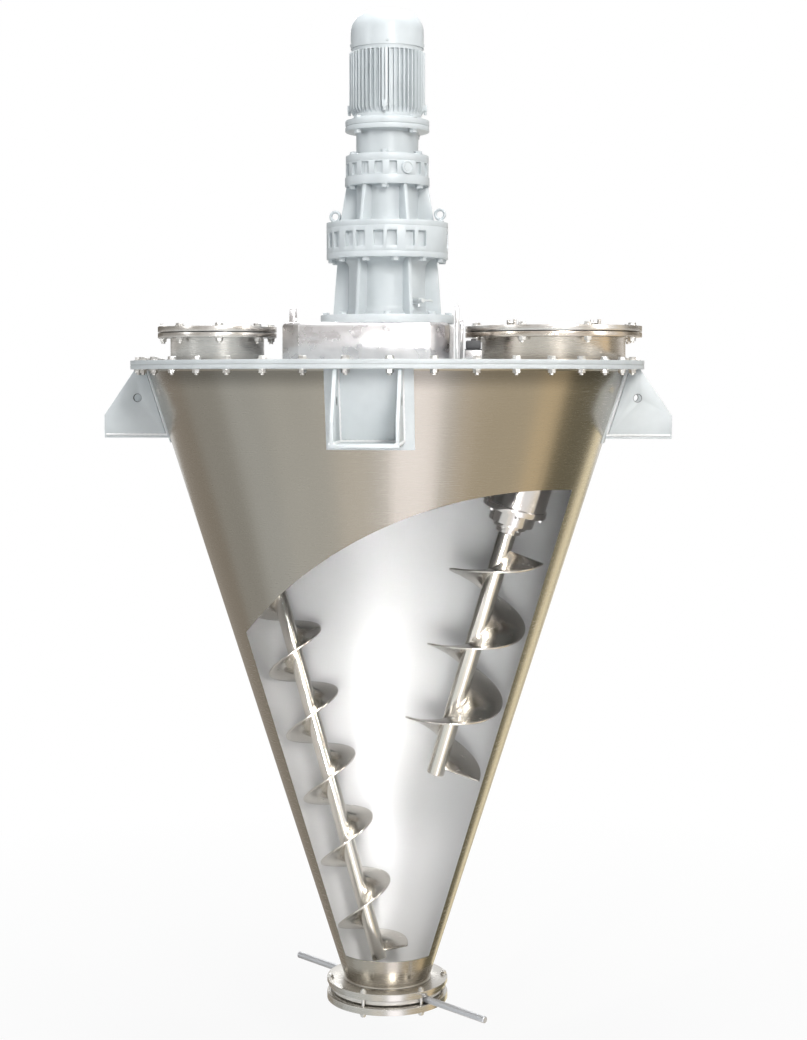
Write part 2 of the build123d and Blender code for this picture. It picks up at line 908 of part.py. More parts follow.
def valve_handles():
    """Two round bars screwed into opposite sides of the turning plate."""
    length = valve_handle_tip - valve_plate_radius
    bar = Rot(0, 90, 0) * Cylinder(valve_handle_radius, length)
    bar = chamfer(bar.edges().group_by(Axis.X)[-1], valve_handle_chamfer)
    bar = Pos(valve_plate_radius + length / 2, 0, valve_mid) * bar
    near = valve_plate_radius * (1 - math.cos(math.asin(valve_handle_radius / valve_plate_radius)))
    seat = disc(valve_plate_radius, valve_low, outlet_level)
    root = Pos(valve_plate_radius, 0, valve_mid) * (Rot(0, 90, 0) * Cylinder(valve_handle_radius, 4 * near))
    return spread((bar + root) - seat, 2, valve_handle_azimuth)


def valve_studs():
    """Six studs with a nut at each end."""
    tail = valve_nut_height + valve_stud_tail
    stud = disc(valve_stud_radius, valve_low - tail, outlet_level + tail)
    top = hexagon(valve_nut_across, outlet_level, outlet_level + valve_nut_height)
    bottom = hexagon(valve_nut_across, valve_low - valve_nut_height, valve_low)
    one = Pos(valve_stud_circle, 0, 0) * (stud + top + bottom)
    return spread(one, valve_stud_count, valve_stud_azimuth)


# Orbiting arm. The arm is modelled with the short screw on +X and turned into place at the end.

def reach_of(flight_radius, clearance):
    """Radius at which a screw's axis crosses the arm's level."""
    inside = radius_at(arm_level) - cone_wall / math.cos(math.radians(half_angle))
    return inside - (flight_radius + clearance) / math.cos(math.radians(half_angle))


short_reach = reach_of(short_flight_radius, short_wall_clearance)
long_reach = reach_of(long_flight_radius, long_wall_clearance)


def on_arm(shape, side):
    """Put a shape that was made along +X on the short side (0) or the long side (180)."""
    return Rot(0, 0, arm_azimuth + side) * shape


def on_screw(shape, reach, side):
    """Put a shape that was made along Z on a screw's axis, its origin at the arm's level."""
    return on_arm(Pos(reach, 0, arm_level) * (Rot(0, half_angle, 0) * shape), side)


def flight(inner, outer, pitch, phase, high, low):
    """Right-handed helical blade between two levels of its own axis; the phase is its azimuth at level zero."""
    half = math.pi * flight_thickness / pitch
    near = (inner * math.cos(half), inner * math.sin(half))
    far = (outer * math.cos(half), outer * math.sin(half))
    outline = Curve() + [
        Line((near[0], -near[1]), (far[0], -far[1])),
        ThreePointArc((far[0], -far[1]), (outer, 0), far),
        Line(far, near),
        ThreePointArc(near, (inner, 0), (near[0], -near[1])),
    ]
    section = Pos(0, 0, low) * make_face(outline)
    rise = high - low
    blade = Solid.extrude_linear_with_rotation(section.face(), (0, 0, low), (0, 0, rise), 360 * rise / pitch)
    return Rot(0, 0, phase + 360 * low / pitch) * Part(blade.wrapped)


def screw_shaft(radius, end):
    """Tube of the screw, plugged at both ends, with its solid journal at the head."""
    gear_front = end_bevel_radius / math.tan(math.radians(mesh_angle)) - end_bevel_face
    tube_top = -(head_barrel_drop + head_step_height + gland_height + gland_running_gap)
    body = ring(radius, radius - screw_shaft_wall, -end, tube_top)
    body += disc(radius, -end, -end + screw_plug)
    body += disc(radius, tube_top - screw_plug, tube_top)
    return body + disc(end_shaft_radius, tube_top - screw_plug, -gear_front)


def screw_head(radius):
    """Closed housing at an arm's end, hollow round the bevel gears, stepped down to the gland."""
    drop = -head_barrel_drop
    step = drop - head_step_height
    step_radius = radius - head_step_inset
    return turned([
        (0, head_rise),
        (radius, head_rise),
        (radius, drop + head_lip_height),
        (radius + head_lip_over, drop + head_lip_height),
        (radius + head_lip_over, drop),
        (step_radius, drop),
        (step_radius, step),
        (head_bore_radius, step),
        (head_bore_radius, drop + head_wall * 2),
        (radius - head_wall, drop + head_wall * 2),
        (radius - head_wall, head_rise - head_wall),
        (0, head_rise - head_wall),
    ])


def screw_gland():
    """Bolted gland ring under the head."""
    top = -(head_barrel_drop + head_step_height)
    low = top - gland_height
    inner = end_shaft_radius + shaft_clearance
    flange = ring(gland_radius, inner, top - gland_flange_thickness, top)
    return flange + ring(gland_radius - gland_flange_width, inner, low, top)


def gland_bolts():
    """Six hexagon heads under the gland's flange."""
    level = -(head_barrel_drop + head_step_height + gland_flange_thickness)
    head = hexagon(gland_bolt_across, level - gland_bolt_height, level)
    return spread(Pos(gland_radius - gland_bolt_inset, 0, 0) * head, head_bolt_count, 180 / head_bolt_count)


def lip_bolts(radius):
    """Six hexagon heads under the head's lip."""
    head = hexagon(lip_bolt_across, -head_barrel_drop - lip_bolt_height, -head_barrel_drop)
    return spread(Pos(radius - lip_bolt_inset, 0, 0) * head, head_bolt_count)


def centre_box():
    """Hub of the arm: an upright drum with two flanged side openings."""
    low = arm_level - centre_box_drop
    high = arm_level + centre_box_rise
    body = disc(centre_box_radius, low, high)
    for side in (0, 180):
        reach = centre_box_radius + arm_flange_thickness
        stub = Pos(reach / 2, 0, arm_level) * (Rot(0, 90, 0) * Cylinder(arm_tube_radius, reach))
        thickness = arm_flange_thickness + centre_box_wall
        flange = Rot(0, 90, 0) * Cylinder(arm_flange_radius, thickness)
        flange = Pos(reach - thickness / 2, 0, arm_level) * flange
        body += Rot(0, 0, side) * (stub + flange)
    hollow = disc(centre_box_radius - centre_box_wall, low + centre_box_wall, high - centre_box_wall)
    bore = Rot(0, 90, 0) * Cylinder(arm_tube_radius - arm_tube_wall, 4 * centre_box_radius)
    body -= hollow
    body -= Pos(0, 0, arm_level) * bore
    body -= disc(orbit_shaft_bore, arm_level, high + overshoot)
    return Rot(0, 0, arm_azimuth) * body


def orbit_shaft():
    """Hollow shaft that carries the arm and runs in the output housing."""
    return ring(orbit_shaft_radius, orbit_shaft_bore, arm_level + centre_box_rise, orbit_shaft_top)


def orbit_bearings():
    """Two bearing rings between the output housing and the hollow shaft."""
    inner = orbit_shaft_radius + shaft_clearance
    low = platform_level + orbit_bearing_inset
    high = output_top - orbit_bearing_inset
    lower = ring(output_bore_radius, inner, low, low + 2 * bearing_width)
    upper = ring(output_bore_radius, inner, high - 2 * bearing_width, high)
    return [lower, upper]


def lid_seal():
    """Packing housing that closes the lid round the hollow shaft."""
    inner = orbit_shaft_radius + shaft_clearance
    body = ring(orbit_shaft_radius + seal_wall, inner, lid_low - seal_reach, lid_top + seal_reach)
    return body + ring(seal_flange_radius, inner, lid_top, lid_top + seal_flange_thickness)


def arm_tube(reach, head_radius):
    """Tube from the centre box to a screw head, with its flange at the box."""
    start = centre_box_radius + arm_flange_thickness
    length = reach - start
    tube = Rot(0, 90, 0) * Cylinder(arm_tube_radius, length)
    flange = Rot(0, 90, 0) * Cylinder(arm_flange_radius, arm_flange_thickness)
    body = Pos(start + length / 2, 0, arm_level) * tube
    body += Pos(start + arm_flange_thickness / 2, 0, arm_level) * flange
    bore = Rot(0, 90, 0) * Cylinder(arm_tube_radius - arm_tube_wall, 2 * reach)
    body -= Pos(start, 0, arm_level) * bore
    head = Pos(reach, 0, arm_level) * (Rot(0, half_angle, 0) * disc(head_radius, -head_barrel_drop, head_rise))
    return body - head


def head_window(reach):
    """Bore that lets the arm's cross shaft into a screw head."""
    bore = Rot(0, 90, 0) * Cylinder(arm_tube_radius - arm_tube_wall, reach)
    return Pos(reach / 2, 0, arm_level) * bore


def bevel(radius, face, cone_angle):
    """Toothless bevel blank: its pitch cone's apex is at the origin and its gear is below it."""
    back = radius / math.tan(math.radians(cone_angle))
    shrink = face * math.cos(math.radians(cone_angle))
    small = radius - face * math.sin(math.radians(cone_angle))
    lift = bevel_gap / math.sin(math.radians(cone_angle))
    top = -(back - shrink) - lift
    edge = -back - lift
    low = edge - bevel_back
    return turned([(0, top), (small, top), (radius, edge), (radius * bevel_back_ratio, low), (0, low)])


def spin_shaft():
    """Solid inner shaft with the centre bevel gear that drives both arms."""
    gear = Pos(0, 0, arm_level) * (Rot(180, 0, 0) * bevel(bevel_radius, bevel_face, 45))
    low = arm_level + bevel_radius
    return gear + disc(spin_shaft_radius, low, adapter_top - spin_shaft_end_gap)


def spin_bearings():
    """Bearing rings between the hollow shaft and the spin shaft."""
    inner = spin_shaft_radius + shaft_clearance
    low = arm_level + centre_box_rise + spin_bearing_inset
    high = orbit_shaft_top - spin_bearing_inset
    lower = ring(orbit_shaft_bore, inner, low, low + bearing_width)
    upper = ring(orbit_shaft_bore, inner, high - bearing_width, high)
    return [lower, upper]


def cross_shaft(reach):
    """Cross shaft of one arm with a bevel blank at each end, along +X at the arm's level."""
    inner_gear = Rot(0, -90, 0) * bevel(bevel_radius, bevel_face, 45)
    outer_gear = Pos(reach, 0, 0) * (Rot(0, 90, 0) * bevel(end_bevel_radius, end_bevel_face, mesh_angle))
    back = bevel_radius + bevel_back
    far = reach - end_bevel_radius / math.tan(math.radians(mesh_angle))
    bar = Pos((back + far) / 2, 0, 0) * (Rot(0, 90, 0) * Cylinder(cross_shaft_radius, far - back))
    return Pos(0, 0, arm_level) * (inner_gear + outer_gear + bar)


def cross_bearings(reach):
    """Bearing rings that carry a cross shaft in its arm tube."""
    found = []
    inner = cross_shaft_radius + shaft_clearance
    outer = arm_tube_radius - arm_tube_wall
    near = centre_box_radius + inner_cross_bearing_gap
    far = reach - short_head_radius - outer_cross_bearing_gap
    for place in (near, far):
        one = Rot(0, 90, 0) * (Cylinder(outer, bearing_width) - Cylinder(inner, bearing_width + overshoot))
        found.append(Pos(place, 0, arm_level) * one)
    return found


def screw_gear():
    """Driven bevel blank on a screw's journal, below the crossing."""
    return bevel(end_bevel_radius, end_bevel_face, mesh_angle)


def screw_bearings(radius):
    """Two bearing rings between a head and the screw's journal."""
    inner = end_shaft_radius + shaft_clearance
    outer = radius - head_wall
    upper = ring(outer, inner, -upper_bearing_drop - bearing_width, -upper_bearing_drop)
    lower = ring(outer, inner, -lower_bearing_drop - bearing_width, -lower_bearing_drop)
    return [upper, lower]


# Drain cock

def cock_place(shape):
    """Put a shape that was made along +X on the output housing's barrel."""
    level = platform_level + base_flange_thickness + cock_level
    return Rot(0, 0, cock_azimuth) * Pos(output_barrel_radius, 0, level) * shape


def cock_body():
    """Small plug cock screwed into the housing."""
    stem = Rot(0, 90, 0) * Cylinder(cock_body_radius, cock_body_length + 2 * cock_collar)
    stem = Pos(cock_body_length / 2, 0, 0) * stem
    spout = Cylinder(cock_spout_radius, cock_spout_length)
    spout = Pos(cock_body_length - cock_spout_inset, 0, -cock_spout_drop) * spout
    barrel = disc(output_barrel_radius, 0, output_top)
    placed = cock_place(stem + spout)
    return placed - barrel


def cock_lever():
    """Lever on the plug of the cock."""
    middle = cock_body_length + cock_collar + cock_running_gap + cock_hub_length / 2
    hub = Pos(middle, 0, 0) * (Rot(0, 90, 0) * Cylinder(cock_hub_radius, cock_hub_length))
    bar = Pos(middle, 0, 0) * (Rot(90, 0, 0) * Cylinder(cock_lever_radius, cock_lever_length))
    bar = Pos(0, cock_lever_length / 2, 0) * bar
    return cock_place(hub + bar)


def eye_bolt():
    """Lifting eye: a flat bored ring on its collar."""
    middle = eye_collar_height + eye_outer_radius - overshoot
    eye = Cylinder(eye_outer_radius, eye_thickness) - Cylinder(eye_inner_radius, eye_thickness + overshoot)
    return disc(eye_collar_radius, 0, eye_collar_height) + Pos(0, 0, middle) * (Rot(90, 0, 0) * eye)


def lifting_eyes():
    """Two eyes on opposite sides of the adapter's foot flange."""
    level = stage_ring_top + stage_flange_thickness
    placed = Pos(stage_flange_radius - eye_inset, 0, level) * eye_bolt()
    return spread(placed, 2, eye_azimuth)


def drive_nuts():
    """Nuts under the flanges of the drive."""
    small = bolt_nuts(small_bolt_count, small_flange_radius - small_nut_inset,
                      adapter_top - small_flange_thickness, small_bolt_turn)
    stage = bolt_nuts(stage_bolt_count, stage_flange_radius - stage_bolt_inset,
                      output_top - stage_flange_thickness, stage_bolt_turn)
    motor = bolt_nuts(motor_bolt_count, motor_flange_radius - motor_bolt_inset, input_neck_top, motor_bolt_turn)
    return [motor, stage, small]


def drive_bolts():
    """Bolt heads on the flanges of the drive."""
    base = bolt_heads(base_bolt_count, base_flange_radius - base_bolt_inset,
                      platform_level + base_flange_thickness, base_bolt_turn)
    small = bolt_heads(small_bolt_count, small_ring_radius - small_head_inset, input_flange_top, small_bolt_turn)
    motor = bolt_heads(motor_bolt_count, motor_flange_radius - motor_bolt_inset, motor_flange_top, motor_bolt_turn)
    return [base, small, motor]


def main():
    """Build every sub-part and write it."""
    os.makedirs("parts", exist_ok=True)

    save("vessel_cone", vessel_cone())
    save("vessel_flange", vessel_flange())
    save("lid_gasket", lid_gasket())
    save("lid_plate", lid_plate())
    step = 360 / lid_bolt_count
    save("lid_bolt_heads", bolt_heads(lid_bolt_count, lid_bolt_circle, lid_top, step / 2))
    save("lid_nuts", bolt_nuts(lid_bolt_count, lid_bolt_circle, flange_level, step / 2))
    save("bracket_gussets", [spread(plate, bracket_count) for plate in bracket_gussets()])
    save("bracket_feet", spread(bracket_foot(), bracket_count))
    save("bracket_pads", spread(bracket_pad(), bracket_count))

    inlet = Pos(-inlet_offset, 0, 0)
    save("inlet_nozzle", inlet * nozzle(inlet_neck_radius, inlet_wall, inlet_flange_radius))
    save("inlet_cover", inlet * disc(inlet_flange_radius, nozzle_cover_low, nozzle_cover_top))

    manway = Pos(manway_offset, 0, 0)
    save("manway_neck", manway * nozzle(manway_neck_radius, manway_wall, manway_flange_radius))
    save("manway_cover", manway * disc(manway_flange_radius, nozzle_cover_low, nozzle_cover_top))
    save("nozzle_fasteners",
         [inlet * one for one in nozzle_fasteners(inlet_bolt_circle, inlet_bolt_turn)],
         [manway * one for one in nozzle_fasteners(manway_bolt_circle, manway_bolt_turn)])
    save("nozzle_gaskets",
         inlet * nozzle_gasket(inlet_neck_radius, inlet_bolt_circle),
         manway * nozzle_gasket(manway_neck_radius, manway_bolt_circle))
    handles = [Pos(x, 0, 0) * (Rot(0, 0, handle_turn) * cover_handle()) for x in (-handle_spread, handle_spread)]
    save("manway_handles", [manway * handle for handle in handles])

    save("drive_platform", drive_platform())
    save("lifting_lugs", lifting_lugs())

    save("output_housing", output_housing())
    save("stage_ring", stage_ring())
    save("adapter_housing", adapter_housing())
    save("lifting_eyes", lifting_eyes())
    save("small_ring", small_ring())
    save("drive_nuts", drive_nuts())
    save("oil_sight", sight_glass())
    save("input_housing", input_housing())
    save("drive_bolts", drive_bolts())
    save("motor_shield", motor_shield())
    save("motor_frame", motor_frame())
    save("motor_bearings", motor_bearings())
    save("fan_cowl", fan_cowl())
    save("terminal_box", terminal_box())
    save("motor_rotor", motor_rotor())
    save("motor_fan", motor_fan())

    save("valve_body", valve_body())
    save("valve_lower_flange", valve_lower_flange())
    save("valve_studs", valve_studs())
    save("valve_plate", valve_plate())
    save("valve_handles", valve_handles())

    save("drain_cock", cock_body())
    save("drain_cock_lever", cock_lever())
    save("interlock_block", interlock_block())
    save("lid_seal", lid_seal())
    save("orbit_bearings", orbit_bearings())
    save("orbit_shaft", orbit_shaft())
    save("centre_box", centre_box())
    save("spin_shaft", spin_shaft())

    save("short_arm_tube", on_arm(arm_tube(short_reach, short_head_radius), 0))
    save("long_arm_tube", on_arm(arm_tube(long_reach, long_head_radius), 180))
    short_head = on_screw(screw_head(short_head_radius), short_reach, 0)
    long_head = on_screw(screw_head(long_head_radius), long_reach, 180)
    save("short_screw_head", short_head - on_arm(head_window(short_reach), 0))
    save("long_screw_head", long_head - on_arm(head_window(long_reach), 180))
    save("short_cross_shaft", on_arm(cross_shaft(short_reach), 0))
    save("long_cross_shaft", on_arm(cross_shaft(long_reach), 180))
    save("arm_bearings",
         spin_bearings(),
         [on_arm(one, 0) for one in cross_bearings(short_reach)],
         [on_arm(one, 180) for one in cross_bearings(long_reach)],
         [on_screw(one, short_reach, 0) for one in screw_bearings(short_head_radius)],
         [on_screw(one, long_reach, 180) for one in screw_bearings(long_head_radius)])
    save("screw_glands",
         on_screw(screw_gland(), short_reach, 0),
         on_screw(screw_gland(), long_reach, 180))
    save("gland_bolts",
         [on_screw(one, short_reach, 0) for one in gland_bolts() + lip_bolts(short_head_radius)],
         [on_screw(one, long_reach, 180) for one in gland_bolts() + lip_bolts(long_head_radius)])
    short_shaft = screw_shaft(short_shaft_radius, short_screw_end) + screw_gear()
    long_shaft = screw_shaft(long_shaft_radius, long_screw_end) + screw_gear()
    save("short_screw_shaft", on_screw(short_shaft, short_reach, 0))
    save("long_screw_shaft", on_screw(long_shaft, long_reach, 180))
    short_blade = flight(short_shaft_radius, short_flight_radius, short_pitch, short_phase,
                         -short_flight_start, flight_end_gap - short_screw_end)
    long_blade = flight(long_shaft_radius, long_flight_radius, long_pitch, long_phase,
                        -long_flight_start, flight_end_gap - long_screw_end)
    save("short_screw_flight", on_screw(short_blade, short_reach, 0))
    save("long_screw_flight", on_screw(long_blade, long_reach, 180))


main()
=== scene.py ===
import math

import bpy
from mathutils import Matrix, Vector


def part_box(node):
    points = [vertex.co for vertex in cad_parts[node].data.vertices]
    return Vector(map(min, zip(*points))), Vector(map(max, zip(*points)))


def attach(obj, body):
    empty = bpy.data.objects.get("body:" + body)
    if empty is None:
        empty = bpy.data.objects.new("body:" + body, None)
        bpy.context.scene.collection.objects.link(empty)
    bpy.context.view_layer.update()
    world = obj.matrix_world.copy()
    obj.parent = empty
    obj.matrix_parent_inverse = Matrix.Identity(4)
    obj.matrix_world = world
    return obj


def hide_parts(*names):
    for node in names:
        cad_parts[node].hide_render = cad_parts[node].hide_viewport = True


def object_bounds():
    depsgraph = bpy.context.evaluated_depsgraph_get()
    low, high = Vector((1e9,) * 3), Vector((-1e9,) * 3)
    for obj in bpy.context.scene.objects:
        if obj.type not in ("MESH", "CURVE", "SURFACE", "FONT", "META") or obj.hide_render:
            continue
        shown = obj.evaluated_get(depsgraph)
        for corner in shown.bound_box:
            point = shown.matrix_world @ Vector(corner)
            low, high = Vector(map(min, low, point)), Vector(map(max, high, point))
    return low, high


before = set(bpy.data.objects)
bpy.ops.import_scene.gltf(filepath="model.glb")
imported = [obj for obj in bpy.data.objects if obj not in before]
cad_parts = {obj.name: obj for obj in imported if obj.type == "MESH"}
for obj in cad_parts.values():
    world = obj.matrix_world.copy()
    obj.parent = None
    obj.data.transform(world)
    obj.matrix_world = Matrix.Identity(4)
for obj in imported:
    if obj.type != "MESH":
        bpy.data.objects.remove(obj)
cad_low, cad_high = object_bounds()

# Stage
# A pale seamless floor far below the mixer, which hangs over it as in a catalogue picture.
# The camera stands at the photograph's place: level with the lid, seven metres in front and
# turned a little. Grey and warm cards show in the gloss of the steel, and nowhere else.
scene = bpy.context.scene
scene.view_settings.view_transform = "Standard"

focal_px = 1850.0
frame_height_px = 1040.0
frame_width_px = 807.0
axis_px = 387.3
horizon_rise_px = 145.0
sensor_size = 24.0
camera_distance = 6.81
camera_level = 0.228
object_turn = math.radians(4.0)
down_tilt = math.atan(horizon_rise_px / focal_px)

camera_data = bpy.data.cameras.new("studio_camera")
camera_data.sensor_fit = "VERTICAL"
camera_data.sensor_height = sensor_size
camera_data.sensor_width = sensor_size
camera_data.lens = sensor_size * focal_px / frame_height_px
camera_data.shift_x = (frame_width_px / 2 - axis_px) / frame_height_px
camera = bpy.data.objects.new("studio_camera", camera_data)
scene.collection.objects.link(camera)
camera.location = (
    camera_distance * math.sin(object_turn),
    -camera_distance * math.cos(object_turn),
    camera_level,
)
camera.rotation_euler = (math.pi / 2 - down_tilt, 0.0, object_turn)
scene.camera = camera

floor_drop = 0.35
floor_size = 60.0
floor_level = cad_low.z - floor_drop
bpy.ops.object.select_all(action="DESELECT")
bpy.ops.mesh.primitive_plane_add(size=floor_size, location=(0.0, 0.0, floor_level))
floor = bpy.context.object
floor.name = "floor"


def node_material(name):
    """New material with its nodes, links and shader."""
    material = bpy.data.materials.new(name)
    material.use_nodes = True
    nodes = material.node_tree.nodes
    return material, nodes, material.node_tree.links, nodes["Principled BSDF"]


def worked_out(nodes, links, operation, first, second):
    """One sum on two sockets."""
    maths = nodes.new("ShaderNodeMath")
    maths.operation = operation
    links.new(first, maths.inputs[0])
    links.new(second, maths.inputs[1])
    return maths.outputs[0]


def ranged(nodes, links, value, start, end, low=0.0, high=1.0, kind="LINEAR"):
    """Number that goes from low to high while a value goes from start to end."""
    slide = nodes.new("ShaderNodeMapRange")
    slide.interpolation_type = kind
    slide.inputs["From Min"].default_value = start
    slide.inputs["From Max"].default_value = end
    slide.inputs["To Min"].default_value = low
    slide.inputs["To Max"].default_value = high
    links.new(value, slide.inputs["Value"])
    return slide.outputs["Result"]


def overlaid(nodes, links, factor, under, over):
    """One shader over another by a factor."""
    mix = nodes.new("ShaderNodeMixShader")
    links.new(factor, mix.inputs["Fac"])
    links.new(under, mix.inputs[1])
    links.new(over, mix.inputs[2])
    return mix.outputs["Shader"]


def seen_directly(nodes, links):
    """1 for rays that show the background: from the camera, off metal, or through glass."""
    path = nodes.new("ShaderNodeLightPath").outputs
    first = worked_out(nodes, links, "MAXIMUM", path["Is Camera Ray"], path["Is Glossy Ray"])
    return worked_out(nodes, links, "MAXIMUM", first, path["Is Transmission Ray"])


def white_when_seen(name, grey):
    """Floor that is white to the eye, with a trace of shadow near the mixer, and matt to lamps."""
    material, nodes, links, shader = node_material(name)
    shader.inputs["Base Color"].default_value = (grey, grey, grey, 1.0)
    shader.inputs["Roughness"].default_value = 0.9
    glow = nodes.new("ShaderNodeEmission")
    glow.inputs["Color"].default_value = (1.0, 1.0, 1.0, 1.0)
    place = nodes.new("ShaderNodeTexCoord")
    distance = nodes.new("ShaderNodeVectorMath")
    distance.operation = "LENGTH"
    links.new(place.outputs["Object"], distance.inputs[0])
    fade = ranged(nodes, links, distance.outputs["Value"], 1.0, 4.5, 0.90, 1.0)
    share = worked_out(nodes, links, "MULTIPLY", seen_directly(nodes, links), fade)
    surface = overlaid(nodes, links, share, shader.outputs["BSDF"], glow.outputs["Emission"])
    links.new(surface, nodes["Material Output"].inputs["Surface"])
    return material


floor.data.materials.append(white_when_seen("floor_white", 0.55))

world = bpy.data.worlds.new("studio_world")
scene.world = world
world.use_nodes = True
sky, wires = world.node_tree.nodes, world.node_tree.links
seen = sky["Background"]
seen.inputs["Color"].default_value = (1.0, 1.0, 1.0, 1.0)
seen.inputs["Strength"].default_value = 1.0
soft = sky.new("ShaderNodeBackground")
soft.inputs["Color"].default_value = (0.93, 0.96, 1.0, 1.0)
soft.inputs["Strength"].default_value = 0.44
backdrop = overlaid(
    sky, wires, seen_directly(sky, wires), soft.outputs["Background"], seen.outputs["Background"])
wires.new(backdrop, sky["World Output"].inputs["Surface"])


def gloss_only(card, name, colour):
    """Make a card show in gloss alone."""
    card.name = name
    card.visible_camera = False
    card.visible_diffuse = False
    card.visible_shadow = False
    card.visible_transmission = False
    material, nodes, links, _ = node_material(name)
    glow = nodes.new("ShaderNodeEmission")
    glow.inputs["Color"].default_value = (*colour, 1.0)
    links.new(glow.outputs["Emission"], nodes["Material Output"].inputs["Surface"])
    card.data.materials.append(material)


# Upright cards for the necks, covers and flanges, above the rays that the cone sends down.
card_level = 2.0
card_height = 4.0
for name, x, y, turn, width, colour in (
    ("card_left", -5.2, -0.4, 90.0, 6.6, (0.40, 0.385, 0.36)),
    ("card_back_left", -3.4, 4.2, 40.0, 4.6, (0.20, 0.18, 0.15)),
    ("card_front_left", -3.9, -4.9, 140.0, 2.6, (0.42, 0.39, 0.345)),
    ("card_front_grey", -1.4, -7.5, 172.0, 3.0, (0.70, 0.68, 0.675)),
    ("card_front_bright", 1.8, -7.2, 192.0, 2.0, (1.9, 1.9, 1.9)),
    ("card_front_right", 4.3, -4.1, 229.0, 2.6, (0.46, 0.41, 0.34)),
    ("card_warm_right", 5.5, 0.2, 273.0, 0.8, (1.05, 0.88, 0.60)),
    ("card_right", 5.0, 2.6, 297.0, 3.2, (0.24, 0.22, 0.185)),
    ("card_back_right", 3.0, 4.9, 327.0, 2.2, (0.40, 0.35, 0.27)),
):
    bpy.ops.object.select_all(action="DESELECT")
    bpy.ops.mesh.primitive_plane_add(
        size=1.0, location=(x, y, card_level), rotation=(math.pi / 2, 0.0, math.radians(turn)))
    bpy.context.object.scale = (width, card_height, 1.0)
    gloss_only(bpy.context.object, name, colour)

# Sectors of a card on the floor, between bearings from the camera's side, for the cone's bands.
band_reach = 18.0
for name, start, end, colour in (
    ("band_left_edge", -180.0, -116.0, (0.42, 0.38, 0.33)),
    ("band_left_dark", -116.0, -86.0, (0.53, 0.53, 0.51)),
    ("band_left", -86.0, -62.0, (0.75, 0.78, 0.79)),
    ("band_left_pale", -62.0, -28.0, (0.84, 0.86, 0.85)),
    ("band_middle", -28.0, -8.0, (1.02, 0.99, 0.93)),
    ("band_bright", 1.0, 26.0, (1.95, 1.92, 2.02)),
    ("band_warm_pale", 34.0, 44.0, (0.98, 0.88, 0.74)),
    ("band_warm", 44.0, 78.0, (0.82, 0.73, 0.57)),
    ("band_warm_bright", 78.0, 95.0, (1.10, 0.90, 0.60)),
    ("band_right_dark", 95.0, 136.0, (0.24, 0.22, 0.155)),
    ("band_right_cream", 136.0, 152.0, (1.40, 1.25, 0.90)),
    ("band_right_line", 152.0, 160.0, (0.40, 0.36, 0.25)),
    ("band_right_edge", 160.0, 180.0, (1.30, 1.22, 1.05)),
):
    bpy.ops.object.select_all(action="DESELECT")
    bpy.ops.mesh.primitive_circle_add(
        vertices=72, radius=band_reach, location=(0.0, 0.0, floor_level + 0.01), fill_type="NGON")
    bpy.ops.object.mode_set(mode="EDIT")
    for bearing, way in ((start, -1.0), (end, 1.0)):
        angle = math.radians(bearing - 90.0) + object_turn
        bpy.ops.mesh.select_all(action="SELECT")
        bpy.ops.mesh.bisect(
            plane_co=(0.0, 0.0, floor_level),
            plane_no=(-way * math.sin(angle), way * math.cos(angle), 0.0), clear_outer=True)
    bpy.ops.object.mode_set(mode="OBJECT")
    gloss_only(bpy.context.object, name, colour)

# Rectangular lamps: place, point they are turned to, width, height, power, colour and spread.
for name, place, aim, width, height, power, colour, spread in (
    ("key_front", (2.0, -6.0, 3.4), (0.0, 0.0, 0.2), 1.3, 3.0, 300.0, (1.0, 0.99, 0.97), 180.0),
    ("fill_left", (-5.2, -3.2, 1.8), (0.0, 0.0, -0.2), 1.4, 3.6, 110.0, (0.97, 0.99, 1.0), 180.0),
    ("fill_right", (5.0, -2.6, 1.4), (0.0, 0.0, -0.4), 0.9, 3.6, 70.0, (1.0, 0.97, 0.93), 180.0),
    ("top_light", (0.4, -0.6, 5.2), (0.0, 0.0, 0.3), 3.0, 3.0, 190.0, (0.97, 0.99, 1.0), 180.0),
    ("fill_back", (-1.2, 6.4, 3.2), (0.0, 0.0, 0.2), 1.6, 2.4, 130.0, (0.98, 0.99, 1.0), 180.0),
    ("window_light", (0.40, -6.5, -0.5), (0.03, 0.3, -0.72), 1.0, 1.0, 5.3, (1.0, 1.0, 1.0), 18.0),
):
    lamp_data = bpy.data.lights.new(name, "AREA")
    lamp_data.shape = "RECTANGLE"
    lamp_data.size = width
    lamp_data.size_y = height
    lamp_data.energy = power
    lamp_data.color = colour
    lamp_data.spread = math.radians(spread)
    lamp = bpy.data.objects.new(name, lamp_data)
    scene.collection.objects.link(lamp)
    lamp.location = place
    lamp.rotation_euler = (Vector(aim) - Vector(place)).to_track_quat("-Z", "Y").to_euler()

# Vessel cone
# Rolled and welded from 6 mm stainless sheet, satin outside and bright inside. Its front wall
# is cut away to show the screws: a wide arc above, two slanted sides, and a level foot.
# A seam runs down its back, and fillets tie it to the flange and the outlet.
steel_wall = 0.006
cone_low, cone_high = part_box("vessel_cone")
cone_top_radius = cone_high.x
cone_bore = cone_top_radius - steel_wall
cone_outlet_radius = 0.158
cone_slope = (cone_top_radius - cone_outlet_radius) / (cone_high.z - cone_low.z)
half_angle = math.atan(cone_slope)


def cone_radius(level):
    """Outside radius of the cone at a level."""
    return cone_top_radius - cone_slope * (cone_high.z - level)


def only(piece):
    """Select one piece and make it active."""
    bpy.ops.object.select_all(action="DESELECT")
    piece.select_set(True)
    bpy.context.view_layer.objects.active = piece


def edit(piece):
    """Open one piece in edit mode, all of it selected."""
    only(piece)
    bpy.ops.object.mode_set(mode="EDIT")
    bpy.ops.mesh.select_all(action="SELECT")


def close_edit():
    """Leave edit mode."""
    bpy.ops.object.mode_set(mode="OBJECT")


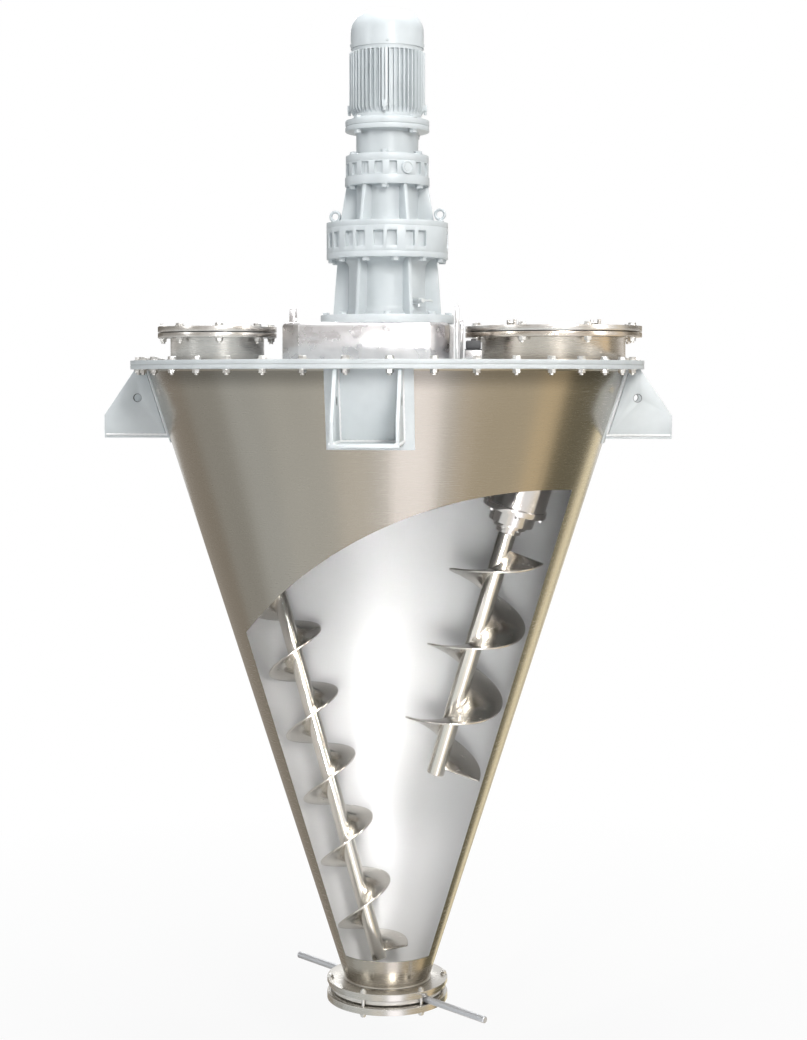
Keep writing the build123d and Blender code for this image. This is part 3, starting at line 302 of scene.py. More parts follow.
def settle():
    """Put the selected piece's place, turn and size into its mesh."""
    bpy.ops.object.transform_apply(location=True, rotation=True, scale=True)


def turned_flat(piece, angle_x=0.0, angle_y=0.0, angle_z=0.0, place=(0.0, 0.0, 0.0)):
    """Turn a piece about the origin, move it, and keep its place in its mesh."""
    only(piece)
    piece.rotation_euler = (angle_x, angle_y, angle_z)
    piece.location = place
    settle()
    return piece


def extrude(x, y, z):
    """Extrude what is selected."""
    bpy.ops.mesh.extrude_region_move(TRANSFORM_OT_translate={"value": (x, y, z)})


def turned(name, profile, place=(0.0, 0.0), segments=128):
    """Turned piece: a circle extruded and resized through the profile's (radius, level) points."""
    radius, level = profile[0]
    bpy.ops.object.select_all(action="DESELECT")
    bpy.ops.mesh.primitive_circle_add(
        vertices=segments, radius=radius, location=(0.0, 0.0, level))
    piece = bpy.context.object
    piece.name = name
    settle()
    edit(piece)
    for next_radius, next_level in profile[1:]:
        extrude(0.0, 0.0, next_level - level)
        if abs(next_radius - radius) > 1e-7:
            grow = next_radius / radius
            bpy.ops.transform.resize(
                value=(grow, grow, 1.0), center_override=(0.0, 0.0, next_level))
        radius, level = next_radius, next_level
    bpy.ops.mesh.select_all(action="SELECT")
    bpy.ops.mesh.remove_doubles(threshold=1e-6)
    bpy.ops.mesh.fill_holes(sides=0)
    bpy.ops.mesh.select_all(action="SELECT")
    bpy.ops.mesh.normals_make_consistent(inside=False)
    close_edit()
    return turned_flat(piece, place=(place[0], place[1], 0.0))


def cut(piece, cutter):
    """Cut one piece with another, and delete the cutter."""
    only(piece)
    modifier = piece.modifiers.new("cut", "BOOLEAN")
    modifier.operation = "DIFFERENCE"
    modifier.solver = "EXACT"
    modifier.object = cutter
    bpy.ops.object.modifier_apply(modifier="cut")
    bpy.data.objects.remove(cutter)


def eased(piece, width, segments=2, angle=30.0):
    """Break the sharp edges and shade the round faces smoothly."""
    only(piece)
    if width > 0:
        modifier = piece.modifiers.new("edges", "BEVEL")
        modifier.width = width
        modifier.segments = segments
        modifier.limit_method = "ANGLE"
        modifier.angle_limit = math.radians(angle)
        bpy.ops.object.modifier_apply(modifier="edges")
    bpy.ops.object.shade_smooth_by_angle(angle=math.radians(angle))
    return piece


def joined(pieces, name):
    """One piece from several."""
    bpy.ops.object.select_all(action="DESELECT")
    for piece in pieces:
        piece.select_set(True)
    bpy.context.view_layer.objects.active = pieces[0]
    if len(pieces) > 1:
        bpy.ops.object.join()
    pieces[0].name = name
    return pieces[0]


def fitted(piece, node, material=None, edge=None, body="vessel"):
    """Finish a piece: its edges, material and slot, the node it stands for, and its body."""
    if edge is not None:
        eased(piece, edge)
    if material is not None:
        piece.data.materials.append(material)
    if node is not None:
        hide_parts(node)
    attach(piece, body)
    return piece


def grain(nodes, links, place, stretch, scale, detail):
    """Noise stretched along an axis, in object coordinates."""
    mapping = nodes.new("ShaderNodeMapping")
    mapping.inputs["Scale"].default_value = stretch
    noise = nodes.new("ShaderNodeTexNoise")
    noise.inputs["Scale"].default_value = scale
    noise.inputs["Detail"].default_value = detail
    links.new(place, mapping.inputs["Vector"])
    links.new(mapping.outputs["Vector"], noise.inputs["Vector"])
    return noise.outputs["Fac"]


def tint(nodes, links, factor, dark, light):
    """Colour between two colours by a factor."""
    ramp = nodes.new("ShaderNodeValToRGB")
    stops = ramp.color_ramp.elements
    stops[0].position = 0.3
    stops[0].color = (*dark, 1.0)
    stops[1].position = 0.7
    stops[1].color = (*light, 1.0)
    links.new(factor, ramp.inputs["Fac"])
    return ramp.outputs["Color"]


def finish(name, dark, light, clouds, fine, gloss, by_fine, relief, depth, metal):
    """Finish of one surface: clouds in its colour, a gloss that varies, and a fine relief."""
    material, nodes, links, shader = node_material(name)
    place = nodes.new("ShaderNodeTexCoord").outputs["Object"]
    cloud_grain = grain(nodes, links, place, *clouds)
    fine_grain = grain(nodes, links, place, *fine)
    gloss_grain = fine_grain if by_fine else cloud_grain
    inputs = shader.inputs
    links.new(tint(nodes, links, cloud_grain, dark, light), inputs["Base Color"])
    links.new(ranged(nodes, links, gloss_grain, 0.3, 0.7, *gloss), inputs["Roughness"])
    inputs["Metallic"].default_value = metal
    bump = nodes.new("ShaderNodeBump")
    bump.inputs["Strength"].default_value = relief
    bump.inputs["Distance"].default_value = depth
    links.new(fine_grain, bump.inputs["Height"])
    links.new(bump.outputs["Normal"], inputs["Normal"])
    return material


def steel(name, dark, light, rough, stretch, metal=1.0, relief=0.05):
    """Ground or brushed steel: fine grain drawn out along an axis, in gloss and relief."""
    return finish(
        name, dark, light, ((1.0, 1.0, 0.35), 1.6, 2.0), (stretch, 14.0, 4.0),
        (rough - 0.05, rough + 0.06), True, relief, 0.0003, metal)


def rolled_steel(name, dark, light, rough, metal, relief):
    """Cone sheet polished round its wall: level grain, and faint tall clouds left by rolling."""
    return finish(
        name, dark, light, ((1.0, 1.0, 0.22), 2.4, 3.0), ((1.0, 1.0, 60.0), 16.0, 4.0),
        (rough - 0.04, rough + 0.05), True, relief, 0.0002, metal)


def shaded_along(material, axis, start, end, shade, both_ways=False):
    """Painted shade: darken a colour along an axis, from none at the start to a share at the end.
    """
    nodes, links = material.node_tree.nodes, material.node_tree.links
    colour = nodes["Principled BSDF"].inputs["Base Color"]
    plain = colour.links[0].from_socket
    place = nodes.new("ShaderNodeTexCoord")
    split = nodes.new("ShaderNodeSeparateXYZ")
    links.new(place.outputs["Object"], split.inputs["Vector"])
    distance = split.outputs[axis]
    if both_ways:
        size = nodes.new("ShaderNodeMath")
        size.operation = "ABSOLUTE"
        links.new(distance, size.inputs[0])
        distance = size.outputs[0]
    mix = nodes.new("ShaderNodeMix")
    mix.data_type = "RGBA"
    mix.blend_type = "MULTIPLY"
    mix.inputs["B"].default_value = (shade, shade, shade, 1.0)
    slide = ranged(nodes, links, distance, start, end, kind="SMOOTHSTEP")
    links.new(slide, mix.inputs["Factor"])
    links.new(plain, mix.inputs["A"])
    links.new(mix.outputs["Result"], colour)


cone_outside = rolled_steel(
    "cone_satin_steel", (0.39, 0.36, 0.31), (0.43, 0.40, 0.35), 0.235, 1.0, 0.012)
# Painted shade: the cone's outside darkens to 55 per cent from 80 mm to 15 mm below the flange,
# standing in for the shadow under it.
shaded_along(cone_outside, "Z", cone_high.z - 0.080, cone_high.z - 0.015, 0.55)
cone_inside = rolled_steel(
    "cone_bright_inside", (0.80, 0.80, 0.80), (0.85, 0.85, 0.85), 0.42, 0.15, 0.02)
# Painted shade and painted reflection: the inside darkens to 84 per cent with distance from the
# middle along X, standing in for the light falling off in the hollow.
shaded_along(cone_inside, "X", 0.04, 0.36, 0.84, both_ways=True)

cone = turned("cone_shell", [
    (cone_outlet_radius, cone_low.z),
    (cone_top_radius, cone_high.z),
    (cone_bore, cone_high.z),
    (cone_outlet_radius - steel_wall, cone_low.z),
    (cone_outlet_radius, cone_low.z),
], segments=256)

window_left = Vector((-0.501, 0.0, -0.683))
window_crown = Vector((-0.016, 0.0, -0.278))
window_right = Vector((0.646, 0.0, -0.172))
foot_level = cone_low.z + 0.111
foot_half = cone_radius(foot_level) - 0.040


def arc_through(first, second, third):
    """Centre and radius of the circle through three points of the XZ plane."""
    ax, az, bx, bz, cx, cz = first.x, first.z, second.x, second.z, third.x, third.z
    twice = 2 * (ax * (bz - cz) + bx * (cz - az) + cx * (az - bz))
    a, b, c = ax * ax + az * az, bx * bx + bz * bz, cx * cx + cz * cz
    x = (a * (bz - cz) + b * (cz - az) + c * (az - bz)) / twice
    z = (a * (cx - bx) + b * (ax - cx) + c * (bx - ax)) / twice
    return Vector((x, 0.0, z)), math.hypot(ax - x, az - z)


def trim(point, normal):
    """Cut away what lies on the normal's side of a plane, and close the cut."""
    bpy.ops.mesh.select_all(action="SELECT")
    bpy.ops.mesh.bisect(
        plane_co=point, plane_no=Vector(normal).normalized(),
        use_fill=True, clear_outer=True, clear_inner=False)


arc_centre, arc_radius = arc_through(window_left, window_crown, window_right)
bpy.ops.object.select_all(action="DESELECT")
bpy.ops.mesh.primitive_cylinder_add(
    vertices=360, radius=arc_radius, depth=1.0, location=(arc_centre.x, -0.5, arc_centre.z),
    rotation=(math.pi / 2, 0.0, 0.0))
window = bpy.context.object
settle()
left_foot = Vector((-foot_half, 0.0, foot_level))
right_foot = Vector((foot_half, 0.0, foot_level))
left_side = left_foot - window_left
right_side = window_right - right_foot
edit(window)
trim(window_left, (left_side.z, 0.0, -left_side.x))
trim(window_right, (right_side.z, 0.0, -right_side.x))
trim(left_foot, (0.0, 0.0, -1.0))
close_edit()
turned_flat(window, angle_z=object_turn)
cut(cone, window)
eased(cone, 0.0)
cone.data.materials.append(cone_outside)
cone.data.materials.append(cone_inside)
for face in cone.data.polygons:
    middle = face.center
    outward = face.normal.x * middle.x + face.normal.y * middle.y
    face.material_index = 1 if outward < -0.3 * math.hypot(middle.x, middle.y) else 0
fitted(cone, "vessel_cone")


def drill(radius, start, end):
    """Round bar between two points, to cut a hole or to lie as a weld."""
    bpy.ops.object.select_all(action="DESELECT")
    along = Vector(end) - Vector(start)
    bpy.ops.mesh.primitive_cylinder_add(
        vertices=40, radius=radius, depth=along.length,
        location=(Vector(start) + Vector(end)) / 2,
        rotation=along.to_track_quat("Z", "Y").to_euler())
    settle()
    return bpy.context.object


def weld_bead(start, end, radius, steps=24, swell=1.25):
    """Fillet weld along a corner, swelled at every second cut into its ripples."""
    bead = drill(radius, start, end)
    edit(bead)
    along = (Vector(end) - Vector(start)).normalized()
    length = (Vector(end) - Vector(start)).length
    for i in [*range(2, steps, 2), *range(1, steps, 2)]:
        bpy.ops.mesh.select_all(action="SELECT")
        bpy.ops.mesh.bisect(
            plane_co=Vector(start) + along * (length * i / steps), plane_no=along)
        if i % 2:
            bpy.ops.transform.resize(value=(swell, swell, swell))
    close_edit()
    bpy.ops.object.shade_smooth_by_angle(angle=math.radians(70.0))
    return bead


def fillet_ring(radius, level, leg, centre=(0.0, 0.0), up=1.0):
    """Round fillet weld between a wall and the plate it stands on."""
    root = radius - 0.001
    return turned("fillet_ring", [
        (root, level), (radius + leg, level), (radius + leg * 0.62, level + up * leg * 0.38),
        (radius + leg * 0.38, level + up * leg * 0.62), (root, level + up * leg),
        (root, level)], centre, 160)


bead_steel = steel(
    "weld_bead_steel", (0.44, 0.41, 0.36), (0.56, 0.53, 0.48), 0.34, (6.0, 6.0, 6.0), 1.0, 0.10)
seam_foot = cone_low.z + 0.012
seam_head = cone_high.z - 0.004
seam = weld_bead(
    (cone_radius(seam_foot), 0.0, seam_foot), (cone_radius(seam_head), 0.0, seam_head), 0.0022)
turned_flat(seam, angle_z=math.radians(118.0))
foot_weld = fillet_ring(cone_radius(cone_low.z + 0.004), cone_low.z + 0.0005, 0.005)
head_weld = fillet_ring(cone_top_radius - 0.001, cone_high.z - 0.0005, 0.006, up=-1.0)
welds = joined([seam, foot_weld, head_weld], "cone_weld_beads")
eased(welds, 0.0, angle=60.0)
fitted(welds, None, bead_steel)

# Vessel flange and lid
# Two rings of 14 mm plate with a gasket pressed between them, sprayed pale grey green when
# bolted up, so that the gasket's edge has paint on it too.
# The lid is bored for the drive, the inlet and the manway.


def paint(name, dark, light, rough=0.42):
    """Sprayed machine paint: slight clouding of the colour, faint orange peel."""
    every_way = (1.0, 1.0, 1.0)
    return finish(
        name, dark, light, (every_way, 9.0, 5.0), (every_way, 160.0, 2.0),
        (rough - 0.06, rough + 0.08), False, 0.10, 0.0006, 0.0)


def hollow(outer, inner, low, high):
    """Closed profile of a plain ring."""
    return [(outer, low), (outer, high), (inner, high), (inner, low), (outer, low)]


vessel_paint = paint("vessel_grey_paint", (0.50, 0.53, 0.54), (0.58, 0.61, 0.62))
edge_paint = paint("gasket_painted_edge", (0.40, 0.42, 0.42), (0.47, 0.49, 0.49), 0.6)
plate_edge = 0.0012

flange_low, flange_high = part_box("vessel_flange")
flange = turned("vessel_flange_ring", hollow(
    flange_high.x, cone_bore, flange_low.z, flange_high.z), segments=200)
fitted(flange, "vessel_flange", vessel_paint, plate_edge)

lid_low, lid_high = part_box("lid_plate")
inlet_low, inlet_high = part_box("inlet_nozzle")
manway_low, manway_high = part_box("manway_neck")
inlet_x = (inlet_low.x + inlet_high.x) / 2
manway_x = (manway_low.x + manway_high.x) / 2
inlet_neck = 0.172
manway_neck = 0.261
neck_wall = 0.006
drive_bore = 0.092
lid = turned("lid_disc", hollow(lid_high.x, drive_bore, lid_low.z, lid_high.z), segments=200)
for hole_x, neck in ((inlet_x, inlet_neck), (manway_x, manway_neck)):
    hole = neck - neck_wall
    cut(lid, turned("bore", [(hole, lid_low.z - 0.01), (hole, lid_high.z + 0.01)], (hole_x, 0.0)))
fitted(lid, "lid_plate", vessel_paint, plate_edge)

gasket_low, gasket_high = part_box("lid_gasket")
gasket = turned("lid_gasket_ring", hollow(
    lid_high.x - 0.001, cone_bore, gasket_low.z, gasket_high.z), segments=200)
fitted(gasket, "lid_gasket", edge_paint, 0.0)

# Lid bolts and nuts
# Forty hexagon bolts with washers clamp the lid, heads up, with a nut under the flange for each.
# They are plain zinc-plated steel, gone grey.
bolt_steel = steel(
    "bolt_zinc_steel", (0.58, 0.57, 0.55), (0.72, 0.71, 0.69), 0.30, (8.0, 8.0, 8.0))
bolt_across = 0.024
washer_thickness = 0.0025


def pick(piece, kind, chosen):
    """Open a piece in edit mode with the faces, edges or corners selected that pass a test."""
    only(piece)
    bpy.ops.object.mode_set(mode="EDIT")
    bpy.ops.mesh.select_mode(type=kind)
    bpy.ops.mesh.select_all(action="DESELECT")
    bpy.ops.object.mode_set(mode="OBJECT")
    mesh = piece.data
    for part in {"FACE": mesh.polygons, "EDGE": mesh.edges, "VERT": mesh.vertices}[kind]:
        part.select = chosen(part)
    bpy.ops.object.mode_set(mode="EDIT")


def close_pick():
    """Select by corners again, and leave edit mode."""
    bpy.ops.mesh.select_mode(type="VERT")
    bpy.ops.object.mode_set(mode="OBJECT")


def hexagon(across, low, high, shank=0.0, up=True):
    """Bolt head or nut with a chamfered crown, its washer, and the bolt's end where it shows."""
    corner = across / math.sqrt(3.0)
    foot, crown = (low, high) if up else (high, low)
    way = 1.0 if up else -1.0
    seat = foot + way * washer_thickness
    washer = turned("washer", [(corner * 1.16, foot), (corner * 1.16, seat)], segments=20)
    bpy.ops.object.select_all(action="DESELECT")
    bpy.ops.mesh.primitive_cylinder_add(
        vertices=6, radius=corner, depth=abs(crown - seat),
        location=(0.0, 0.0, (crown + seat) / 2))
    head = bpy.context.object
    settle()
    pick(head, "FACE", lambda face: face.normal.z * way > 0.9)
    bpy.ops.mesh.inset(thickness=corner * 0.14, depth=corner * 0.07)
    close_pick()
    pieces = [washer, head]
    if shank > 0:
        end = crown + way * shank
        pieces.append(turned(
            "bolt_end", [(corner * 0.52, crown), (corner * 0.52, end)], segments=14))
    return joined(pieces, "hexagon")


def twin(piece):
    """Copy of a piece with its own mesh."""
    other = piece.copy()
    other.data = piece.data.copy()
    scene.collection.objects.link(other)
    return other


def round_axis(piece, angles):
    """Copies of a piece turned about the vertical axis, in place of the piece itself."""
    found = [turned_flat(twin(piece), angle_z=math.radians(angle)) for angle in angles]
    bpy.data.objects.remove(piece)
    return found


def set_round(name, fastener, radius, angles, centre_x=0.0):
    """Copies of one fastener on a bolt circle, joined into one piece."""
    turned_flat(fastener, place=(radius, 0.0, 0.0))
    return turned_flat(joined(round_axis(fastener, angles), name), place=(centre_x, 0.0, 0.0))


def even(count, start):
    """Evenly spaced angles round a circle."""
    return [start + 360.0 * i / count for i in range(count)]


head_low, head_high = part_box("lid_bolt_heads")
nut_low, nut_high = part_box("lid_nuts")
lid_circle = 0.905
lid_angles = even(40, 4.5)
lid_heads = set_round(
    "lid_bolt_head_set", hexagon(bolt_across, head_low.z, head_high.z + 0.001),
    lid_circle, lid_angles)
fitted(lid_heads, "lid_bolt_heads", bolt_steel, 0.0)
lid_nuts = set_round(
    "lid_nut_set", hexagon(bolt_across, nut_low.z, nut_high.z, shank=0.007, up=False),
    lid_circle, lid_angles)
fitted(lid_nuts, "lid_nuts", bolt_steel, 0.0)

# Support brackets
# Each of the four is two 12 mm gussets on a foot plate, welded to a doubler that is rolled to
# the cone. They are painted with the flange, and the gussets have a round lifting hole.
pad_low, pad_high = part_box("bracket_pads")
pad_top = pad_high.z
pad_thickness = 0.006
pad_half_width = 0.145
bracket_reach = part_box("bracket_feet")[1].x
bracket_root = 0.70
bracket_plate = 0.012
bracket_half_width = 0.110
bracket_edge = 0.082
bracket_shoulder = 0.915
bracket_ease = 0.0015
lift_hole_x = 0.906
lift_hole_z = 0.145
lift_hole_radius = 0.014
foot_hole_reach = 0.935
foot_hole_radius = 0.013
# Near-black steel for the bores of the lifting holes: painted shade inside the holes.
lift_hole_shade_steel = steel(
    "lift_hole_painted_shade", (0.035, 0.034, 0.033), (0.06, 0.058, 0.055), 0.5, (6.0, 6.0, 6.0), 0.6)


def block(name, low, high):
    """Block between two corners, from a cube scaled to its place."""
    bpy.ops.object.select_all(action="DESELECT")
    bpy.ops.mesh.primitive_cube_add(size=1.0, location=(Vector(low) + Vector(high)) / 2)
    piece = bpy.context.object
    piece.name = name
    piece.scale = Vector(high) - Vector(low)
    settle()
    return piece


def vessel_cutter():
    """Solid cone with the doubler's thickness added, to fit plates to the wall."""
    return turned("cutter", [
        (cone_radius(level) + pad_thickness, level) for level in (-0.05, 0.30)], segments=256)


def doubler_face(level, y):
    """Reach of the doubler's face at a level, to one side of the bracket's middle."""
    return math.sqrt((cone_radius(level) + pad_thickness) ** 2 - y * y)


cheek = block(
    "bracket_cheek", (bracket_root, -bracket_plate / 2, bracket_plate),
    (bracket_reach, bracket_plate / 2, pad_top))
edit(cheek)
trim((bracket_shoulder, 0.0, pad_top),
     (pad_top - bracket_edge, 0.0, bracket_reach - bracket_shoulder))
close_edit()
cut(cheek, drill(
    lift_hole_radius, (lift_hole_x, -0.05, lift_hole_z), (lift_hole_x, 0.05, lift_hole_z)))
cut(cheek, vessel_cutter())
eased(cheek, bracket_ease)
cheek.data.materials.append(vessel_paint)
# Second slot: the painted shade, given to the faces round each lifting hole's bore.
cheek.data.materials.append(lift_hole_shade_steel)
for face in cheek.data.polygons:
    corners = [cheek.data.vertices[k].co for k in face.vertices]
    reach = max(math.hypot(end.x - lift_hole_x, end.z - lift_hole_z) for end in corners)
    face.material_index = 1 if reach < lift_hole_radius + 0.0022 else 0
far_cheek = twin(cheek)
cheek_inset = bracket_half_width - bracket_plate / 2
turned_flat(cheek, place=(0.0, -cheek_inset, 0.0))
turned_flat(far_cheek, place=(0.0, cheek_inset, 0.0))
inner_face = bracket_half_width - bracket_plate
outer_face = bracket_half_width + 0.0005
beads = []
for y, gap, bead in (
    (-inner_face, 0.004, 0.0045), (-outer_face, 0.006, 0.0036),
    (inner_face, 0.004, 0.0045), (outer_face, 0.006, 0.0036),
):
    root = (doubler_face(bracket_plate, y), y, bracket_plate)
    beads.append(weld_bead(root, (bracket_reach - gap, y, bracket_plate), bead))
    beads.append(weld_bead(root, (doubler_face(pad_top, y), y, pad_top), bead))
bottom_root = cone_radius(bracket_plate) + pad_thickness + 0.001
beads.append(weld_bead(
    (bottom_root, -inner_face, bracket_plate), (bottom_root, inner_face, bracket_plate), 0.005))
bracket = joined([cheek, far_cheek, *beads], "bracket_cheek")
cheeks = joined(round_axis(bracket, even(4, 0.0)), "bracket_cheek_plates")
fitted(cheeks, "bracket_gussets")

sole = block("sole", (bracket_root, -bracket_half_width, 0.0),
             (bracket_reach, bracket_half_width, bracket_plate))
cut(sole, drill(foot_hole_radius, (foot_hole_reach, 0.0, -0.05), (foot_hole_reach, 0.0, 0.05)))
cut(sole, vessel_cutter())
eased(sole, bracket_ease)
soles = joined(round_axis(sole, even(4, 0.0)), "bracket_foot_plates")
fitted(soles, "bracket_feet", vessel_paint)

pad_foot_radius = cone_radius(pad_low.z)
pad_head_radius = cone_radius(pad_top)
pad = turned("bracket_pad", [
    (pad_foot_radius, pad_low.z),
    (pad_foot_radius + pad_thickness, pad_low.z),
    (pad_head_radius + pad_thickness, pad_top),
    (pad_head_radius, pad_top),
    (pad_foot_radius, pad_low.z),
], segments=256)
edit(pad)
trim((0.0, pad_half_width, 0.0), (0.0, 1.0, 0.0))
trim((0.0, -pad_half_width, 0.0), (0.0, -1.0, 0.0))
trim((0.4, 0.0, 0.0), (-1.0, 0.0, 0.0))
close_edit()
eased(pad, 0.001)
pads = joined(round_axis(pad, even(4, 0.0)), "bracket_doublers")
fitted(pads, "bracket_pads", vessel_paint)

# Inlet nozzle and manway
# Welded necks of rolled stainless sheet with plate flanges, each closed by a bolted blind cover.
# The manway's cover has two bent bar handles.
level_grain = (1.0, 1.0, 40.0)
bright_steel = steel(
    "nozzle_brushed_steel", (0.53, 0.505, 0.475), (0.61, 0.585, 0.555), 0.29, level_grain,
    1.0, 0.012)
warm_steel = steel(
    "manway_warm_steel", (0.50, 0.445, 0.385), (0.58, 0.52, 0.455), 0.25, level_grain,
    1.0, 0.012)
gasket_rubber = paint("gasket_black_rubber", (0.035, 0.035, 0.034), (0.06, 0.06, 0.058), 0.7)
nozzle_flange_thickness = 0.018
cover_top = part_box("inlet_cover")[1].z
flange_under = inlet_high.z - nozzle_flange_thickness
for title, centre_x, neck, neck_node, neck_steel in (
    ("inlet", inlet_x, inlet_neck, "inlet_nozzle", bright_steel),
    ("manway", manway_x, manway_neck, "manway_neck", warm_steel),
):
    neck_low, neck_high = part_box(neck_node)
    cover_low, cover_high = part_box(title + "_cover")
    reach = neck_high.x - centre_x
    shoulder = neck_high.z - nozzle_flange_thickness
    body = turned(title + "_neck_body", [
        (neck, neck_low.z), (neck, shoulder), (reach, shoulder), (reach, neck_high.z),
        (neck - neck_wall, neck_high.z), (neck - neck_wall, neck_low.z), (neck, neck_low.z)],
        (centre_x, 0.0), 160)
    fillet = fillet_ring(neck, lid_high.z, 0.005, (centre_x, 0.0))
    body = joined([body, fillet], title + "_neck_body")
    fitted(body, neck_node, neck_steel, plate_edge)
    cover = turned(
        title + "_cover_plate", [(reach, cover_low.z), (reach, cover_high.z)],
        (centre_x, 0.0), 160)
    fitted(cover, title + "_cover", bright_steel, 0.0015)
nozzle_bolts = joined([
    set_round("fasteners", fastener, circle, even(8, start), centre_x)
    for centre_x, circle, start in ((inlet_x, 0.198, 11.0), (manway_x, 0.300, 22.5))
    for fastener in (
        hexagon(bolt_across, cover_top, cover_top + 0.010),
        hexagon(bolt_across, flange_under - 0.013, flange_under, shank=0.008, up=False))
], "nozzle_bolt_sets")
fitted(nozzle_bolts, "nozzle_fasteners", bolt_steel, 0.0)


def refinished(node, material):
    """Give a piece that keeps its CAD shape its material."""
    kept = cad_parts[node]
    kept.data.materials.clear()
    kept.data.materials.append(material)


refinished("nozzle_gaskets", gasket_rubber)


def bent_bar(radius, half, height, bend):
    """Bar bent into a bridge across Y: a circle extruded up, spun over, along, and down."""
    bpy.ops.object.select_all(action="DESELECT")
    bpy.ops.mesh.primitive_circle_add(
        vertices=24, radius=radius, location=(0.0, -half, 0.0), fill_type="NGON")
    bar = bpy.context.object
    settle()
    edit(bar)
    rise = height - radius - bend
    quarter = math.pi / 2
    extrude(0.0, 0.0, rise)
    bpy.ops.mesh.spin(
        steps=8, angle=quarter, center=(0.0, bend - half, rise), axis=(-1.0, 0.0, 0.0))
    extrude(0.0, 2 * (half - bend), 0.0)
    bpy.ops.mesh.spin(
        steps=8, angle=quarter, center=(0.0, half - bend, rise), axis=(-1.0, 0.0, 0.0))
    extrude(0.0, 0.0, -rise)
    bpy.ops.mesh.select_all(action="SELECT")
    bpy.ops.mesh.remove_doubles(threshold=1e-6)
    bpy.ops.mesh.normals_make_consistent(inside=False)
    close_edit()
    return eased(bar, 0.0, angle=50.0)


handle_low, handle_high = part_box("manway_handles")
handle_spread = 0.152
handle_half = 0.048
handle_turn = math.radians(14.0)
grips = []
for side in (-handle_spread, handle_spread):
    grip = bent_bar(0.006, handle_half, handle_high.z - handle_low.z, 0.015)
    for foot_y in (-handle_half, handle_half):
        collar = turned(
            "handle_collar", [(0.010, 0.0), (0.0085, 0.003), (0.006, 0.004)], (0.0, foot_y), 24)
        grip = joined([grip, collar], "grip")
    turned_flat(grip, angle_z=handle_turn)
    grips.append(turned_flat(grip, place=(manway_x + side, 0.0, handle_low.z)))
fitted(joined(grips, "manway_grip_bars"), "manway_handles", bright_steel)

# Drive platform
# A box folded from bright stainless sheet, a little buckled, that lifts the drive clear of the
# lid. Its corners are cut back. Plate lugs for lifting stand beside it, and a small switch
# block by the manway.
sheet_steel = finish(
    "platform_bright_sheet", (0.56, 0.545, 0.545), (0.66, 0.645, 0.645),
    ((3.0, 3.0, 3.0), 6.0, 5.0), ((1.0, 1.0, 3.4), 5.0, 2.0), (0.24, 0.33), False,
    0.55, 0.010, 1.0)
platform_low, platform_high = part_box("drive_platform")
platform_cut = 0.066
platform_wall = 0.008
platform_top = 0.014
platform_bend = 0.018
platform_bore = 0.112
platform = block("platform_box", platform_low, platform_high)
edit(platform)
for x, way_x in ((platform_low.x, -1.0), (platform_high.x, 1.0)):
    for y, way_y in ((platform_low.y, -1.0), (platform_high.y, 1.0)):
        trim((x - way_x * platform_cut, y, 0.0), (way_x, way_y, 0.0))
close_edit()
pick(platform, "FACE", lambda face: face.normal.z < -0.9)
bpy.ops.mesh.inset(thickness=platform_wall, depth=0.0)
extrude(0.0, 0.0, platform_high.z - platform_low.z - platform_top)
bpy.ops.mesh.select_mode(type="VERT")
bpy.ops.mesh.select_all(action="SELECT")
bpy.ops.mesh.normals_make_consistent(inside=False)
close_edit()


def ends_of(piece, edge):
    """The two end points of an edge."""
    return [piece.data.vertices[k].co for k in edge.vertices]


pick(platform, "EDGE", lambda edge: all(
    end.z > platform_high.z - 0.001 for end in ends_of(platform, edge)))
bpy.ops.mesh.bevel(offset=platform_bend, segments=6)
close_pick()
cut(platform, drill(
    platform_bore, (0.0, 0.0, platform_high.z - 0.05), (0.0, 0.0, platform_high.z + 0.05)))
eased(platform, 0.0025, 2, 20.0)
fitted(platform, "drive_platform", sheet_steel)

lug_width = 0.070


def plate_lug(x, y, low, high, thickness):
    """Plate lug on the lid: a block whose two top corners are rounded off, with its hole."""
    lug = block("lug", (x - thickness / 2, y - lug_width / 2, low),
                (x + thickness / 2, y + lug_width / 2, high))

    def at_top_corner(edge):
        first, second = ends_of(lug, edge)
        return min(first.z, second.z) > high - 0.001 and abs(first.y - second.y) < 0.001

    pick(lug, "EDGE", at_top_corner)
    bpy.ops.mesh.bevel(offset=lug_width / 2 - 0.0005, segments=14)
    close_pick()
    hole_level = high - lug_width / 2
    cut(lug, drill(0.015, (x - 0.05, y, hole_level), (x + 0.05, y, hole_level)))
    eased(lug, 0.001)
    half_foot = lug_width / 2 - 0.004
    pieces = [lug]
    for side in (-1.0, 1.0):
        weld_x = x + side * (thickness / 2 + 0.001)
        pieces.append(weld_bead(
            (weld_x, y - half_foot, low), (weld_x, y + half_foot, low), 0.004))
    return joined(pieces, "lug")


lug_low, lug_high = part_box("lifting_lugs")
lug_foot = lug_low.z
thick_lug = 0.022
thin_lug = 0.012
left_lug_x = lug_low.x + thick_lug / 2
right_lug_x = lug_high.x - thin_lug / 2
lugs = joined([
    plate_lug(left_lug_x, 0.310, lug_foot, lug_foot + 0.205, thick_lug),
    plate_lug(right_lug_x, -0.260, lug_foot, lug_foot + 0.192, thin_lug),
    plate_lug(right_lug_x, 0.260, lug_foot, lug_foot + 0.156, thin_lug),
], "lifting_lug_plates")
fitted(lugs, "lifting_lugs", sheet_steel)

block_low, block_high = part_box("interlock_block")
switch_x = 0.304
switch_y = -0.245
switch_black = paint("switch_black_plastic", (0.03, 0.03, 0.032), (0.05, 0.05, 0.052), 0.5)


def switch_part(name, half_x, half_y, low, high):
    """Block of the switch, centred on it."""
    return block(name, (switch_x - half_x, switch_y - half_y, low),
                 (switch_x + half_x, switch_y + half_y, high))


